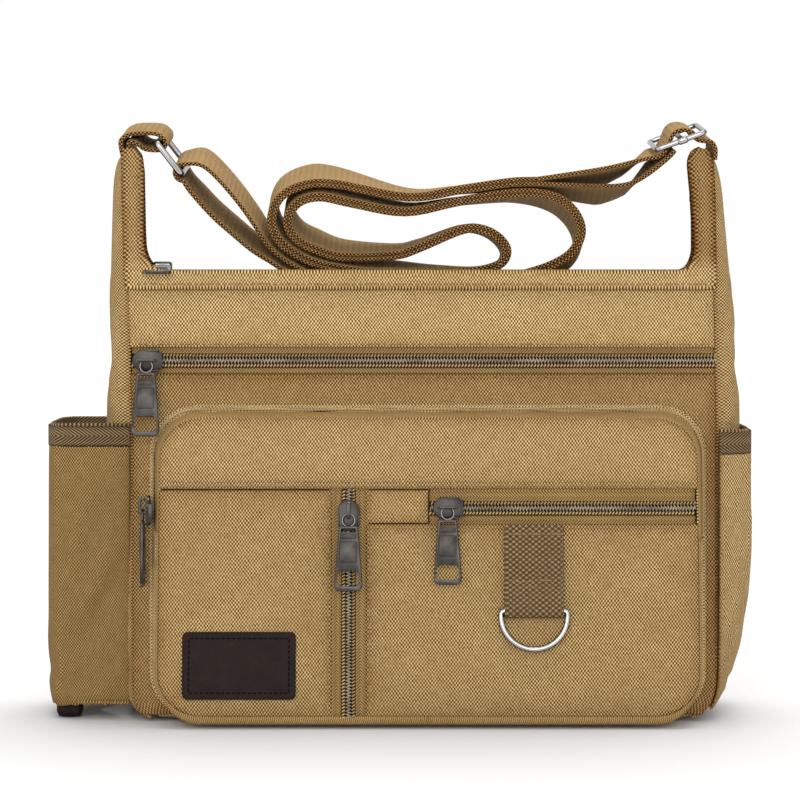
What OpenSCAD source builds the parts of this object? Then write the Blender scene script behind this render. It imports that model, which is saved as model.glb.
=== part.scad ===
// A canvas messenger bag, in millimetres. +Z is up and the front faces -Y.
// The origin is the centre of the base's underside.

/* [Body] */
// Width of the front panel between its side seams
body_w = 310; // [300:1:320]
// Height of the top opening's edge
body_h = 239; // [236:1:242]
// Depth of the main body across the base
base_depth = 84; // [80:1:88]
// Depth of the main body across the top opening
top_depth = 60; // [58:1:62]
// Thickness of the canvas panels
canvas_t = 1.6; // [1.2:0.1:2]

/* [Box pocket] */
// How far the pocket's face stands out at its top edge
box_top_out = 9; // [8.5:0.1:9.5]
// How far the pocket's face stands out at its bottom edge
box_bottom_out = 24; // [20:1:28]

/* [Strap] */
// Width of the shoulder strap's webbing
strap_w = 38; // [36:1:40]
// Thickness of the webbing
strap_t = 2.2; // [1.8:0.1:2.4]
// Width of the webbing that holds the D-ring
tab_w = 30; // [28:1:30]

/* [Zips] */
// Width of a zip's chain
chain_w = 8; // [7:0.5:8]
// Thickness of a zip's chain
chain_t = 2.4; // [2:0.1:2.4]
// Length of a zip's puller below its pivot
puller_len = 40.5; // [38:0.5:41]

/* [Hidden] */
$fn = 48;

canvas = "#b08a55";
webbing = "#9c7a4c";
tape = "#8a6c42";
metal = "#4a4a4c";
nickel = "#a8a8aa";
bronze = "#6b5638";
leather = "#33231f";
dark = "#3a2c1e";

// Body
half_w = body_w / 2;
panel_tilt = atan((base_depth - top_depth) / 2 / body_h);
seam_gap = 0.2;
base_t = 3;
facing_h = 8;
upper_zip_v = 192;
upper_gap = 13.6;
band_bottom = upper_zip_v + upper_gap / 2;
panel_top = upper_zip_v - upper_gap / 2;
tape_drop = 1.05;
tape_t = 0.45;

// Ears: the two side pieces that rise above the opening and carry the strap
ear_h = 65;
ear_depth = 40;
ear_tilt = atan((top_depth - ear_depth) / 2 / ear_h);
left_flange = [-161, -150.5];
right_flange = [144.5, 151.5];

// Box pocket, in the front panel's plane: left, right, bottom and top edges
box_r = 23;
junction = [-150, 151, 3, 170];
shoulder = [-143.5, 147, 4, 166];
face = [-140.5, 144.5, 5, 162];
shoulder_out = 3;
face_lean = atan((box_bottom_out - box_top_out) / (face[3] - face[2]));
face_h = (face[3] - face[2]) / cos(face_lean);
yoke_q = 119.5;
vzip_x = -40;
vzip_gap = 17;
hzip_q = 109.5;
hzip_gap = 16.5;
patch_top_q = hzip_q - hzip_gap / 2;
patch_left = -31;
hzip_left = 2;
face_right = 144.5;
face_t = 1;
slice_t = 0.02;

// Zips
slider_h = 8.35;
bar_r = 0.8;
ring_r = 3.1;
ring_wire = 0.55;
ring_drop = 1.5;
plate_t = 1.8;
crown_r = 5.7;

// Moving pieces' rest places
upper_slider_x = -147.5;
upper_puller_tilt = 9.5;
face_puller_tilt = 2;
hslider_x = 12;
vslider_q = 106;
box_slider_v = 113;
box_slider_w = 11;
box_side_x = -144.5;
top_slider_x = -142;
top_zip_z = 235.6;
top_sag_z = 228;
top_puller_tilt = 84.5;

// Strap frame: its near edge's line at the lowest point, and how far it leans
strap_y = -10.5;
strap_z = 230.4;
strap_lean = 8;
// The strap's doubled run, as points (x, up) along its near edge
double_run = [
    [-62, 6], [-45, 2.9], [-20, 2.4], [10, 2.4], [38, 3.4], [56, 8], [70, 13], [80, 20],
    [84.5, 31], [80, 42], [69, 49.5], [50, 51.3], [19, 46.8], [-10, 41], [-38, 45.5],
    [-56, 49], [-68, 45.5], [-73.5, 35.5], [-68, 25.5], [-57, 20], [-43, 16.5],
    [-16, 17.5], [-3, 21.5], [19, 31], [29.5, 32], [39, 28], [44.5, 20.5], [41, 13],
    [28, 9], [10, 8.2], [-10, 8.2], [-30, 8.2], [-45, 10], [-60, 13.6], [-72, 20],
    [-79, 27], [-82, 37], [-77, 49], [-64, 55.5], [-47, 56], [-9, 49], [19, 53],
    [46, 57], [60, 57.6]];
upper_left = [
    [-129, 66.6], [-122, 66.8], [-116, 64], [-108, 56], [-99, 45], [-91, 33.5],
    [-84.5, 23.5], [-76, 15.5], [-62, 7.4]];
lower_left = [
    [-129, 57.6], [-125.5, 52], [-114, 38.8], [-102, 28], [-93, 20.4], [-83, 14],
    [-74, 8.5], [-62, 4.7]];
upper_right = [
    [58, 58.8], [78, 61.5], [99, 65], [116, 69], [126, 71.2], [130, 76], [133, 83],
    [138, 85], [143, 83.6], [145.5, 80], [149, 79], [153, 79.4], [157, 76.5]];
lower_right = [
    [58, 56.4], [75, 55.8], [90, 55.2], [103, 55.2], [112, 57], [120, 61.5],
    [127, 67], [131.5, 71], [134, 74]];
ring_hold = [-142.5, 78.2];
ring_pull = [-129.8, 61.6];
ring_rod = 1.75;
ring_inside = 41;
tab_route = [
    [-163, 75.6], [-164.4, 79.4], [-157.6, 82], [-149, 82.4], [-142, 81.8], [-138.4, 78],
    [-140.6, 74.6], [-148.8, 75.4], [-157.6, 78]];
bar_left = [123.9, 74.7];
bar_middle = [137.6, 79.7];
bar_right = [149.4, 84];
adjuster_rod = 1.5;

// D-ring
d_x = 57.3;
d_q = 55.4;
d_wire = 1.5;
d_r = 17.4;
d_tab_top = 100.4;
d_loop_r = 3.3;

// ---- frames ----

module on_front() {
    translate([0, -base_depth / 2, 0]) rotate([90 - panel_tilt, 0, 0]) children();
}

module on_back() { mirror([0, 1, 0]) on_front() children(); }

module on_ear_front() {
    translate([0, -top_depth / 2, body_h]) rotate([90 - ear_tilt, 0, 0]) children();
}

module on_ear_back() { mirror([0, 1, 0]) on_ear_front() children(); }

module on_face() {
    on_front() translate([0, face[2], box_bottom_out]) rotate([-face_lean, 0, 0]) children();
}

module in_strap() {
    translate([0, strap_y, strap_z]) rotate([strap_lean + 90, 0, 0]) mirror([0, 0, 1])
        children();
}

// ---- shared shapes ----

// A rectangle from its edges, left, right, bottom and top, with round corners
module panel_2d(e, r) {
    x = [e[0] + r, e[1] - r];
    y = [e[2] + r, e[3] - r];
    for (px = x, py = y) translate([px, py]) circle(r);
    translate([e[0], y[0]]) square([e[1] - e[0], y[1] - y[0]]);
    translate([x[0], e[2]]) square([x[1] - x[0], e[3] - e[2]]);
}

module sheet(left, right, low, high, t) {
    translate([left, low, -t]) cube([right - left, high - low, t]);
}

// A smooth curve through points: Catmull-Rom, with steps pieces to each span
function knot(p, i) = p[max(0, min(len(p) - 1, i))];
function blend_at(a, b, c, d, t) =
    0.5 * (2 * b + (c - a) * t + (2 * a - 5 * b + 4 * c - d) * t * t
        + (3 * b - 3 * c + d - a) * t * t * t);
function smooth(p, steps) = concat(
    [for (i = [0 : len(p) - 2], s = [0 : steps - 1])
        blend_at(knot(p, i - 1), p[i], p[i + 1], knot(p, i + 2), s / steps)],
    [p[len(p) - 1]]);
function side_of(q, i, off) =
    let (d = knot(q, i + 1) - knot(q, i - 1), n = [-d[1], d[0]] / norm(d)) q[i] + off * n;

// A band of one thickness along a curve
module ribbon_2d(points, thick, steps = 3) {
    q = smooth(points, steps);
    n = len(q) - 1;
    polygon(concat([for (i = [0 : n]) side_of(q, i, thick / 2)],
        [for (i = [n : -1 : 0]) side_of(q, i, -thick / 2)]));
}

// The pocket's outline part way out: k is 0 at the shoulder and 1 at the face
function mix_edges(a, b, k) = a + (b - a) * k;
module box_slice(k, grow, sink = 0) {
    e = mix_edges(shoulder, face, k);
    out = shoulder_out + (box_bottom_out - shoulder_out) * k;
    translate([0, e[2], out]) rotate([-face_lean * k, 0, 0]) translate([0, 0, -sink])
        linear_extrude(slice_t) panel_2d([e[0] - grow, e[1] + grow, -grow,
            (e[3] - e[2]) / cos(face_lean * k) + grow], box_r + grow);
}

module junction_slice(grow, out) {
    translate([0, 0, out]) linear_extrude(slice_t)
        panel_2d([junction[0] - grow, junction[1] + grow, junction[2] - grow,
            junction[3] + grow], box_r + grow);
}

// The body's side view, taken in by inset, as a solid across the whole width
module side_block(inset) {
    b = base_depth / 2 - inset;
    t = top_depth / 2 - inset;
    e = ear_depth / 2 - inset;
    z = body_h + ear_h;
    rotate([90, 0, 90]) linear_extrude(600, center = true)
        polygon([[-b, 0], [b, 0], [t, body_h], [e, z], [-e, z], [-t, body_h]]);
}

// ---- body ----

module front_panel() {
    color(canvas) on_front() sheet(-half_w, half_w, base_t + seam_gap, panel_top, canvas_t);
}

module front_top_band() {
    color(canvas) on_front()
        sheet(-half_w, half_w, band_bottom, body_h - facing_h - seam_gap, canvas_t);
}

// The hem along the opening, and the ears' flanges
module facing() {
    sheet(left_flange[1], right_flange[0], body_h - facing_h, body_h - 0.4, canvas_t);
}

module flanges() {
    sheet(left_flange[0], left_flange[1], 0.4, ear_h, canvas_t);
    sheet(right_flange[0], right_flange[1], 0.4, ear_h, canvas_t);
}

module front_facing() {
    color(canvas) {
        on_front() facing();
        on_ear_front() flanges();
    }
}

module back_panel() {
    color(canvas) on_back()
        sheet(-half_w, half_w, base_t + seam_gap, body_h - facing_h - seam_gap, canvas_t);
}

module back_facing() {
    color(canvas) {
        on_back() facing();
        on_ear_back() flanges();
    }
}

module gusset(profile) {
    intersection() {
        rotate([90, 0, 0]) linear_extrude(200, center = true) polygon(profile);
        side_block(canvas_t + seam_gap);
    }
}

module left_gusset() {
    color(canvas) gusset([
        [-half_w + 4, base_t + seam_gap], [-half_w - 3, 6], [-half_w - 7, 22],
        [-half_w - 8, 60], [-half_w - 8, 152], [-171, 166], [-171, 196], [-168.5, 245],
        [-168, 296], [-163, 304], [-158, 304], [-156, 296], [-156, 245],
        [-half_w + 4, 228]]);
}

module right_gusset() {
    color(canvas) gusset([
        [half_w - 4, base_t + seam_gap], [half_w + 3, 6], [half_w + 7, 22],
        [half_w + 8, 60], [half_w + 8, 152], [168, 166], [166, 200], [161.5, 245],
        [159.5, 290], [155, 301], [150, 304], [147, 296], [148.5, 245],
        [half_w - 4, 228]]);
}

module base_panel() {
    color(canvas) translate([-half_w + 8, -base_depth / 2 + 1, 0])
        cube([body_w - 16, base_depth - 2, base_t]);
}

module front_lining() {
    color(dark) on_front() translate([0, 0, -canvas_t - 8.4])
        sheet(-half_w + 5, half_w - 5, base_t + 1, body_h - facing_h - 5, 0.6);
}

module back_lining() {
    color(dark) on_back() translate([0, 0, -canvas_t - 0.5])
        sheet(-half_w + 5, half_w - 5, base_t + 1, body_h - facing_h - 5, 0.6);
}

module upper_pocket_lining() {
    color(dark) on_front() translate([0, 0, -canvas_t - 7.2])
        sheet(-half_w + 6, half_w - 6, base_t + 60, body_h - facing_h - 6, 0.6);
}

// ---- bottle pocket, on the left ----

bottle = [-204, -half_w - 8.3, -38, 38];
bottle_r = 18;
bottle_t = 2;
bottle_z = [8, 158];
bottle_rim = 13;

module bottle_outline(grow) {
    panel_2d([bottle[0] - grow, 0, bottle[2] - grow, bottle[3] + grow], bottle_r + grow);
}

module bottle_ring(z0, z1, outer, inner) {
    translate([0, 0, z0]) linear_extrude(z1 - z0) intersection() {
        difference() {
            bottle_outline(outer);
            bottle_outline(inner);
        }
        translate([bottle[0] - 5, bottle[2] - 5])
            square([bottle[1] - bottle[0] + 5, bottle[3] - bottle[2] + 10]);
    }
}

module bottle_pocket_wall() {
    color(canvas) bottle_ring(bottle_z[0], bottle_z[1] - bottle_rim - seam_gap, 0, -bottle_t);
}

module bottle_pocket_binding() {
    color(tape) bottle_ring(bottle_z[1] - bottle_rim, bottle_z[1], 0, -bottle_t);
}

module bottle_pocket_base() {
    color(canvas) translate([0, 0, bottle_z[0]]) linear_extrude(bottle_t) intersection() {
        bottle_outline(-bottle_t - seam_gap);
        translate([bottle[0], bottle[2]])
            square([bottle[1] - bottle[0], bottle[3] - bottle[2]]);
    }
}

module bottle_pocket_trim() {
    color(dark) translate([bottle[0] + 6, bottle[2] + 8, 5]) cube([14, 50, 2.8]);
}

// ---- slip pocket, on the right ----

side_x = 176;
side_z = [6, 155];
side_rim = 13;

module side_wall(z0, z1) {
    intersection() {
        rotate([90, 0, 0]) linear_extrude(200, center = true) polygon([
            [half_w + 8.3, side_z[0]], [side_x - 3, side_z[0] + 24], [side_x, side_z[0] + 60],
            [side_x, side_z[1]], [side_x - bottle_t, side_z[1]],
            [side_x - bottle_t, side_z[0] + 60], [side_x - bottle_t - 3, side_z[0] + 25],
            [half_w + 8.3, side_z[0] + 4]]);
        translate([0, -37, z0]) cube([300, 74, z1 - z0]);
    }
    for (s = [-1, 1]) translate([half_w + 8.3, s * 36 - 1, max(z0, side_z[0] + 20)])
        cube([side_x - bottle_t - half_w - 9, 2, z1 - max(z0, side_z[0] + 20)]);
}

module side_pocket_wall() { color(canvas) side_wall(0, side_z[1] - side_rim - seam_gap); }

module side_pocket_binding() { color(tape) side_wall(side_z[1] - side_rim, side_z[1]); }

// ---- zips ----

// A slider on a tape whose surface is z = 0, its chain along X, crown towards -X.
// bar_along is true where the bridge runs along the chain and the puller hangs across it.
module slider(lips = true, bar_along = true) {
    low = chain_t + 0.5;
    translate([0, 0, low]) linear_extrude(plate_t) {
        translate([-2, 0]) circle(crown_r);
        polygon([[-2, -crown_r], [7, -4.4], [8.5, -4.4], [8.5, 4.4], [7, 4.4],
            [-2, crown_r]]);
    }
    if (lips) for (s = [-1, 1]) translate([-2, s * 5.15 - 0.55, 0.5])
        cube([7, 1.1, low]);
    reach = bar_along ? 4.6 : 3.7;
    shift = bar_along ? 0 : -2.1;
    translate([shift - reach, 0, slider_h]) rotate([0, 90, 0]) cylinder(r = bar_r, h = 2 * reach);
    for (s = [-1, 1]) translate([shift + s * reach - 0.7, -bar_r, low + plate_t - 0.2])
        cube([1.4, 2 * bar_r, slider_h - low - plate_t + 0.9]);
}

// Where a puller that hangs along its chain turns: its ring lies under the bar, at the tail
along_pivot = [-0.1, 0, slider_h - bar_r - ring_wire - 0.25];

// The straight top of a ring that turns under such a bar
module ring_pin() {
    translate([-1.2, 0, 0]) rotate([0, 90, 0]) cylinder(r = ring_wire + 0.05, h = 2.4);
}

// A puller hanging along -Y from its pivot at the origin, its back towards -Z
module puller(ring_up = 1) {
    drop = ring_up * ring_r;
    translate([0, -drop, 0]) rotate_extrude() translate([ring_r, 0]) circle(ring_wire, $fn = 24);
    top = -drop - ring_r + 0.5;
    difference() {
        translate([0, 0, -plate_t / 2]) linear_extrude(plate_t) polygon([
            [-5.2, top], [-7.6, -puller_len + 3], [-6, -puller_len],
            [6, -puller_len], [7.6, -puller_len + 3], [5.2, top]]);
        translate([0, 0, -plate_t]) linear_extrude(2 * plate_t)
            panel_2d([-5.9, 5.9, -puller_len + 1.8, -puller_len + 10], 2);
    }
}

// Across a chain that runs along X the ring lies behind the bar
module puller_across() { translate([0, 0, -ring_drop]) puller(0.72); }

// Upper zip
module upper_zip_tape() {
    color(tape) on_front() translate([0, 0, -canvas_t - seam_gap])
        sheet(-half_w + 4.4, half_w - 4.4, panel_top - 5, band_bottom + 5, tape_t);
}

module upper_zip_coil() {
    color(bronze) on_front() translate([0, 0, chain_t - canvas_t - seam_gap + 0.05])
        sheet(-half_w + 2, half_w - 2, upper_zip_v - chain_w / 2, upper_zip_v + chain_w / 2,
            chain_t - 0.05);
}

upper_base = -canvas_t - seam_gap;
module at_upper_slider() {
    on_front() translate([upper_slider_x, upper_zip_v, upper_base]) children();
}

module upper_zip_slider() { color(metal) at_upper_slider() slider(); }

module upper_zip_puller() {
    color(metal) at_upper_slider() translate([0, 0, slider_h])
        rotate([-upper_puller_tilt, 0, 0]) puller_across();
}

// Top zip: level at its left end, and dipping under the strap further along
module top_strip(y0, y1, z0, z1) {
    rotate([90, 0, 0]) translate([0, 0, -y1]) linear_extrude(y1 - y0) polygon([
        [-153, z0 + top_zip_z], [-88, z0 + top_zip_z], [-66, z0 + top_sag_z],
        [100, z0 + top_sag_z], [138, z0 + top_zip_z - 4], [142, z0 + top_zip_z - 4],
        [142, z1 + top_zip_z - 4], [138, z1 + top_zip_z - 4], [100, z1 + top_sag_z],
        [-66, z1 + top_sag_z], [-88, z1 + top_zip_z], [-153, z1 + top_zip_z]]);
}

module top_zip_tape() {
    color(tape) top_strip(-26.5, 26.5, -tape_t, 0);
}

module top_zip_coil() {
    color(bronze) top_strip(-chain_w / 2, chain_w / 2, 0.05, chain_t);
}

module at_top_slider() { translate([top_slider_x, 0, top_zip_z]) children(); }

module top_zip_slider() { color(metal) at_top_slider() slider(); }

module top_zip_puller() {
    color(metal) at_top_slider() translate([0, 0, slider_h])
        rotate([90 - top_puller_tilt, 0, 0]) puller_across();
}

// ---- box pocket ----

module box_piping() {
    color(tape) on_front() difference() {
        hull() {
            junction_slice(0, 0.3);
            junction_slice(-1, shoulder_out - 0.3);
        }
        hull() {
            junction_slice(-3, 0.1);
            junction_slice(-4, shoulder_out);
        }
    }
}

module box_gusset() {
    color(canvas) on_front() difference() {
        hull() {
            box_slice(0, 0);
            box_slice(1, 0, face_t + 0.1);
        }
        hull() {
            box_slice(-0.05, -canvas_t);
            box_slice(1, -canvas_t, face_t - 0.1);
        }
    }
}

module box_zip_tape() {
    color(tape) on_front() intersection() {
        difference() {
            hull() {
                box_slice(0.25, 0.75);
                box_slice(0.95, 0.75);
            }
            hull() {
                box_slice(0.2, 0.3);
                box_slice(1, 0.3);
            }
        }
        translate([-200, 100, -10]) cube([400, 100, 60]);
    }
}

module box_zip_coil() {
    color(bronze) on_front() intersection() {
        difference() {
            hull() {
                box_slice(0.45, 1.9);
                box_slice(0.8, 1.9);
            }
            hull() {
                box_slice(0.4, 1.2);
                box_slice(0.85, 1.2);
            }
        }
        translate([-200, 103, -10]) cube([400, 100, 60]);
    }
}

// The slider's plate faces -X and its chain runs up the pocket's left side
module at_box_slider() {
    on_front() translate([box_side_x, box_slider_v, box_slider_w]) rotate([0, -90, 0])
        rotate([0, 0, -90]) children();
}

box_slider_lift = -chain_t - 0.1;
module box_zip_slider() {
    color(metal) at_box_slider() translate([0, 0, box_slider_lift]) slider(false, false);
}

module box_zip_puller() {
    color(metal) at_box_slider() translate(along_pivot + [0, 0, box_slider_lift])
        rotate([0, 0, 90]) {
            puller();
            ring_pin();
        }
}

module face_cut(left, right, low, high) {
    on_face() translate([0, 0, -face_t]) linear_extrude(face_t) intersection() {
        panel_2d([face[0], face[1], 0, face_h], box_r);
        translate([left, low]) square([right - left, high - low]);
    }
}

module box_backing() {
    color(dark) on_face() translate([0, 0, -2.6]) linear_extrude(0.9)
        panel_2d([face[0] + 2.4, face[1] - 2.4, 2.4, face_h - 2.4], box_r - 2.4);
}

module box_yoke() {
    color(canvas) face_cut(-200, 200, yoke_q, 200);
}

module box_face_left() {
    color(canvas) face_cut(-200, vzip_x - vzip_gap / 2, 0, yoke_q - seam_gap);
}

module box_filler() {
    color(canvas) face_cut(patch_left, hzip_left, patch_top_q + seam_gap, yoke_q - seam_gap);
}

module patch_pocket() {
    color(canvas) face_cut(patch_left, 200, 0, patch_top_q);
}

module bottom_binding() {
    color(tape) on_front() translate([0, 0, 1]) sheet(-128, 128, 0.2, 2.6, 0.9);
}

module face_tape(left, right, low, high) {
    on_face() translate([0, 0, -tape_drop]) sheet(left, right, low, high, tape_t);
}

module face_coil(left, right, low, high) {
    on_face() translate([0, 0, chain_t - tape_drop]) sheet(left, right, low, high,
        chain_t - 0.05);
}

module vertical_zip_tape() {
    color(tape) face_tape(vzip_x - vzip_gap / 2 - 4, patch_left + 4, 3, yoke_q + 4);
}

module vertical_zip_coil() {
    color(bronze) face_coil(vzip_x - chain_w / 2, vzip_x + chain_w / 2, 3, yoke_q - 1);
}

module at_vertical_slider() {
    on_face() translate([vzip_x, vslider_q, -tape_drop]) children();
}

module vertical_zip_slider() {
    color(metal) at_vertical_slider() rotate([0, 0, -90]) slider(true, false);
}

module vertical_zip_puller() {
    color(metal) at_vertical_slider() rotate([0, 0, -90]) translate(along_pivot)
        rotate([0, 0, 90]) rotate([-face_puller_tilt, 0, 0]) {
            puller();
            ring_pin();
        }
}

module horizontal_zip_tape() {
    color(tape) face_tape(hzip_left, face_right - 2.5, patch_top_q - 4, yoke_q + 4);
}

module horizontal_zip_coil() {
    color(bronze) face_coil(hzip_left + 1, face_right - 3, hzip_q - chain_w / 2,
        hzip_q + chain_w / 2);
}

module at_horizontal_slider() {
    on_face() translate([hslider_x, hzip_q, -tape_drop]) children();
}

module horizontal_zip_slider() { color(metal) at_horizontal_slider() slider(); }

module horizontal_zip_puller() {
    color(metal) at_horizontal_slider() translate([0, 0, slider_h])
        rotate([-face_puller_tilt, 0, 0]) puller_across();
}

module leather_patch() {
    color(leather) on_face() translate([0, 0, 0.05]) linear_extrude(1.4)
        panel_2d([-127, -67.5, 9.2, 44.6], 2.6);
}

// ---- D-ring and its tab ----

module d_ring_tab() {
    color(webbing) on_face() difference() {
        union() {
            translate([d_x - tab_w / 2, d_q, 0.1]) cube([tab_w, d_tab_top - d_q, 3.4]);
            translate([d_x - tab_w / 2, d_q, 0.1 + d_loop_r]) rotate([0, 90, 0])
                cylinder(r = d_loop_r, h = tab_w);
        }
        translate([d_x - tab_w, d_q, 0.1 + d_loop_r]) rotate([0, 90, 0])
            cylinder(r = d_wire + 0.35, h = 2 * tab_w);
    }
}

module d_ring() {
    arc_q = d_q - 2.6;
    color(nickel) on_face() translate([d_x, 0, 0.1 + d_loop_r]) {
        translate([-d_r, d_q, 0]) rotate([0, 90, 0]) cylinder(r = d_wire, h = 2 * d_r);
        translate([0, arc_q, 0]) rotate([0, 0, 180]) rotate_extrude(angle = 180)
            translate([d_r, 0]) circle(d_wire, $fn = 24);
        for (s = [-1, 1]) {
            translate([s * d_r, arc_q, 0]) rotate([-90, 0, 0])
                cylinder(r = d_wire, h = d_q - arc_q);
            translate([s * d_r, d_q, 0]) sphere(d_wire);
        }
    }
}

// ---- strap and its fittings ----

module strap_ring_tab() {
    color(webbing) in_strap() linear_extrude(strap_w) ribbon_2d(tab_route, strap_t);
}

// A side of a fitting, beyond the strap's edge: a flat bar from rod to rod
module side_bar(a, b, r, at) {
    d = b - a;
    translate([a[0], a[1], at]) rotate([0, 0, atan2(d[1], d[0])]) linear_extrude(2 * r) {
        translate([0, -r]) square([norm(d), 2 * r]);
        circle(r);
        translate([norm(d), 0]) circle(r);
    }
}

// Where a fitting's two side bars start, across the strap
function fitting_sides(r) =
    [(strap_w - ring_inside) / 2 - 2 * r, (strap_w + ring_inside) / 2];

module rod(at, r, gap) {
    translate([at[0], at[1], (strap_w - gap) / 2]) cylinder(r = r, h = gap);
}

module strap_ring() {
    color(nickel) in_strap() {
        for (p = [ring_hold, ring_pull]) rod(p, ring_rod - 0.05, ring_inside + 1);
        for (at = fitting_sides(ring_rod)) side_bar(ring_hold, ring_pull, ring_rod, at);
    }
}

// The strap where its two runs lie together, folded on the bag's top
module shoulder_strap() {
    color(webbing) in_strap() linear_extrude(strap_w)
        ribbon_2d(double_run, 2 * strap_t + 0.2, 2);
}

// Its two runs up to the ring, and the turn through it
module strap_ring_end() {
    bight = (upper_left[0] + lower_left[0]) / 2;
    color(webbing) in_strap() linear_extrude(strap_w) {
        ribbon_2d(upper_left, strap_t);
        ribbon_2d(lower_left, strap_t);
        difference() {
            translate(bight) circle(4.5 + strap_t / 2);
            translate(bight) circle(4.5 - strap_t / 2);
            translate(bight + [0, -10]) square(20);
        }
    }
}

// Its two runs up to the adjuster, the upper one going on to the ear
module strap_adjuster_end() {
    color(webbing) in_strap() linear_extrude(strap_w) {
        ribbon_2d(upper_right, strap_t);
        ribbon_2d(lower_right, strap_t);
    }
}

module strap_adjuster() {
    color(nickel) in_strap() {
        for (p = [bar_left, bar_middle, bar_right])
            rod(p, adjuster_rod - 0.05, ring_inside + 1);
        for (at = fitting_sides(adjuster_rod)) side_bar(bar_left, bar_right, adjuster_rod, at);
    }
}

front_panel();
front_top_band();
front_facing();
back_panel();
back_facing();
left_gusset();
right_gusset();
base_panel();
front_lining();
back_lining();
upper_pocket_lining();
bottle_pocket_wall();
bottle_pocket_binding();
bottle_pocket_base();
bottle_pocket_trim();
side_pocket_wall();
side_pocket_binding();
top_zip_tape();
top_zip_coil();
top_zip_slider();
top_zip_puller();
upper_zip_tape();
upper_zip_coil();
upper_zip_slider();
upper_zip_puller();
box_piping();
box_gusset();
box_zip_tape();
box_zip_coil();
box_zip_slider();
box_zip_puller();
box_backing();
box_yoke();
box_face_left();
box_filler();
patch_pocket();
bottom_binding();
vertical_zip_tape();
vertical_zip_coil();
vertical_zip_slider();
vertical_zip_puller();
horizontal_zip_tape();
horizontal_zip_coil();
horizontal_zip_slider();
horizontal_zip_puller();
leather_patch();
d_ring_tab();
d_ring();
strap_ring_tab();
strap_ring();
shoulder_strap();
strap_ring_end();
strap_adjuster_end();
strap_adjuster();
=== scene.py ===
"""A canvas messenger bag: soft pieces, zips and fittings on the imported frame.

Lengths are in millimetres until a mesh is made, and the frame's planes are the
same as the part's: x to the right, then up the plane, then out of it.
"""

import math

import bpy
import numpy as np
from mathutils import Matrix, Vector
from mathutils.bvhtree import BVHTree


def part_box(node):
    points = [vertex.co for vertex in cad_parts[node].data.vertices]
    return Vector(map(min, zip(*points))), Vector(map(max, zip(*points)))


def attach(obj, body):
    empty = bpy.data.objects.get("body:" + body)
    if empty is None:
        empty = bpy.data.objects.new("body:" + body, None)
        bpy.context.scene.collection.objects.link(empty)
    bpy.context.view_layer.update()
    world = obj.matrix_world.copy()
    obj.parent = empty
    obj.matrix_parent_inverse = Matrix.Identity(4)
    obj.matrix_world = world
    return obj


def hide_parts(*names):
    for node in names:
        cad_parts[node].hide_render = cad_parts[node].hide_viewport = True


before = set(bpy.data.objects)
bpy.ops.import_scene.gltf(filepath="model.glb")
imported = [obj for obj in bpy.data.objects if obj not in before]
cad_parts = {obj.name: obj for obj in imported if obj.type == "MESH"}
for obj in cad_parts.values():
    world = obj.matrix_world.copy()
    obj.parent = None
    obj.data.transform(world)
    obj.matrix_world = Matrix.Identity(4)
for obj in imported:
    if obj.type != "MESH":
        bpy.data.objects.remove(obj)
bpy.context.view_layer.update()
MM = 0.001
PI = math.pi


# ---- the part's driving sizes ----


def extent(node, axis):
    """The lowest and highest coordinate of a CAD node along one axis, in mm."""
    low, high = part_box(node)
    return low[axis] / MM, high[axis] / MM


HALF_W = extent("front_panel", 0)[1]
BODY_H = 239.0
# Half the body's depth at its base, at its opening and at the ears' tops, and the ears' height
BASE_HALF, TOP_HALF, EAR_HALF, EAR_H = 42.0, 30.0, 20.0, 65.0
PANEL_TILT = math.atan((BASE_HALF - TOP_HALF) / BODY_H)
EAR_TILT = math.atan((TOP_HALF - EAR_HALF) / EAR_H)
CANVAS_T = 1.6
HEM_V = 231.0
ZIP_V, ZIP_GAP = 192.0, 13.6
# The box pocket's edges (left, right, bottom, top) where its wall begins and round its face
SHOULDER = (-143.5, 147.0, 4.0, 166.0)
FACE = (-140.5, 144.5, 5.0, 162.0)
BOX_R, SHOULDER_OUT, BOX_OUT, BOX_TOP_OUT = 23.0, 3.0, 24.0, 9.0
FACE_LEAN = math.atan((BOX_OUT - BOX_TOP_OUT) / (FACE[3] - FACE[2]))
FACE_H = (FACE[3] - FACE[2]) / math.cos(FACE_LEAN)
# Seams and zips on the face, measured up it from its bottom edge
YOKE_Q, VZIP_X, VZIP_GAP, HZIP_Q, HZIP_GAP = 119.5, -40.0, 17.0, 109.5, 16.5
PATCH_Q = HZIP_Q - HZIP_GAP / 2
PATCH_LEFT, HZIP_LEFT = -31.0, 2.0
CHAIN_T, TAPE_DROP = 2.4, 1.05
SLIDER_H, PULLER_LEN, PLATE_T = 8.35, 40.5, 1.8
# The laid strap's near edge, its lowest line, and how far its plane leans back in degrees
STRAP_Y, STRAP_Z, STRAP_LEAN, STRAP_W, STRAP_T = -10.5, 230.4, 8.0, 38.0, 2.5


# ---- planes: each takes x, up and out, as numbers or arrays ----


def leaning(x, v, w, tilt, y, z):
    """A plane that leans back by tilt from the line at y and z."""
    s, c = math.sin(tilt), math.cos(tilt)
    x, v, w = np.broadcast_arrays(x, v, w)
    return np.stack([x, y + v * s - w * c, z + v * c + w * s], -1).astype(float)


def on_front(x, v, w):
    return leaning(x, v, w, PANEL_TILT, -BASE_HALF, 0.0)


def on_ear(x, v, w):
    return leaning(x, v, w, EAR_TILT, -TOP_HALF, BODY_H - 0.3)


def on_front_and_ear(x, v, w):
    """The front, going on up the ears above the opening."""
    low, high = on_front(x, v, w), on_ear(x, np.asarray(v, float) - BODY_H, w)
    k = np.clip((np.asarray(v, float) - BODY_H + 3) / 6, 0, 1)[..., None] * np.ones(low.shape)
    return low * (1 - k) + high * k


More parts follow.
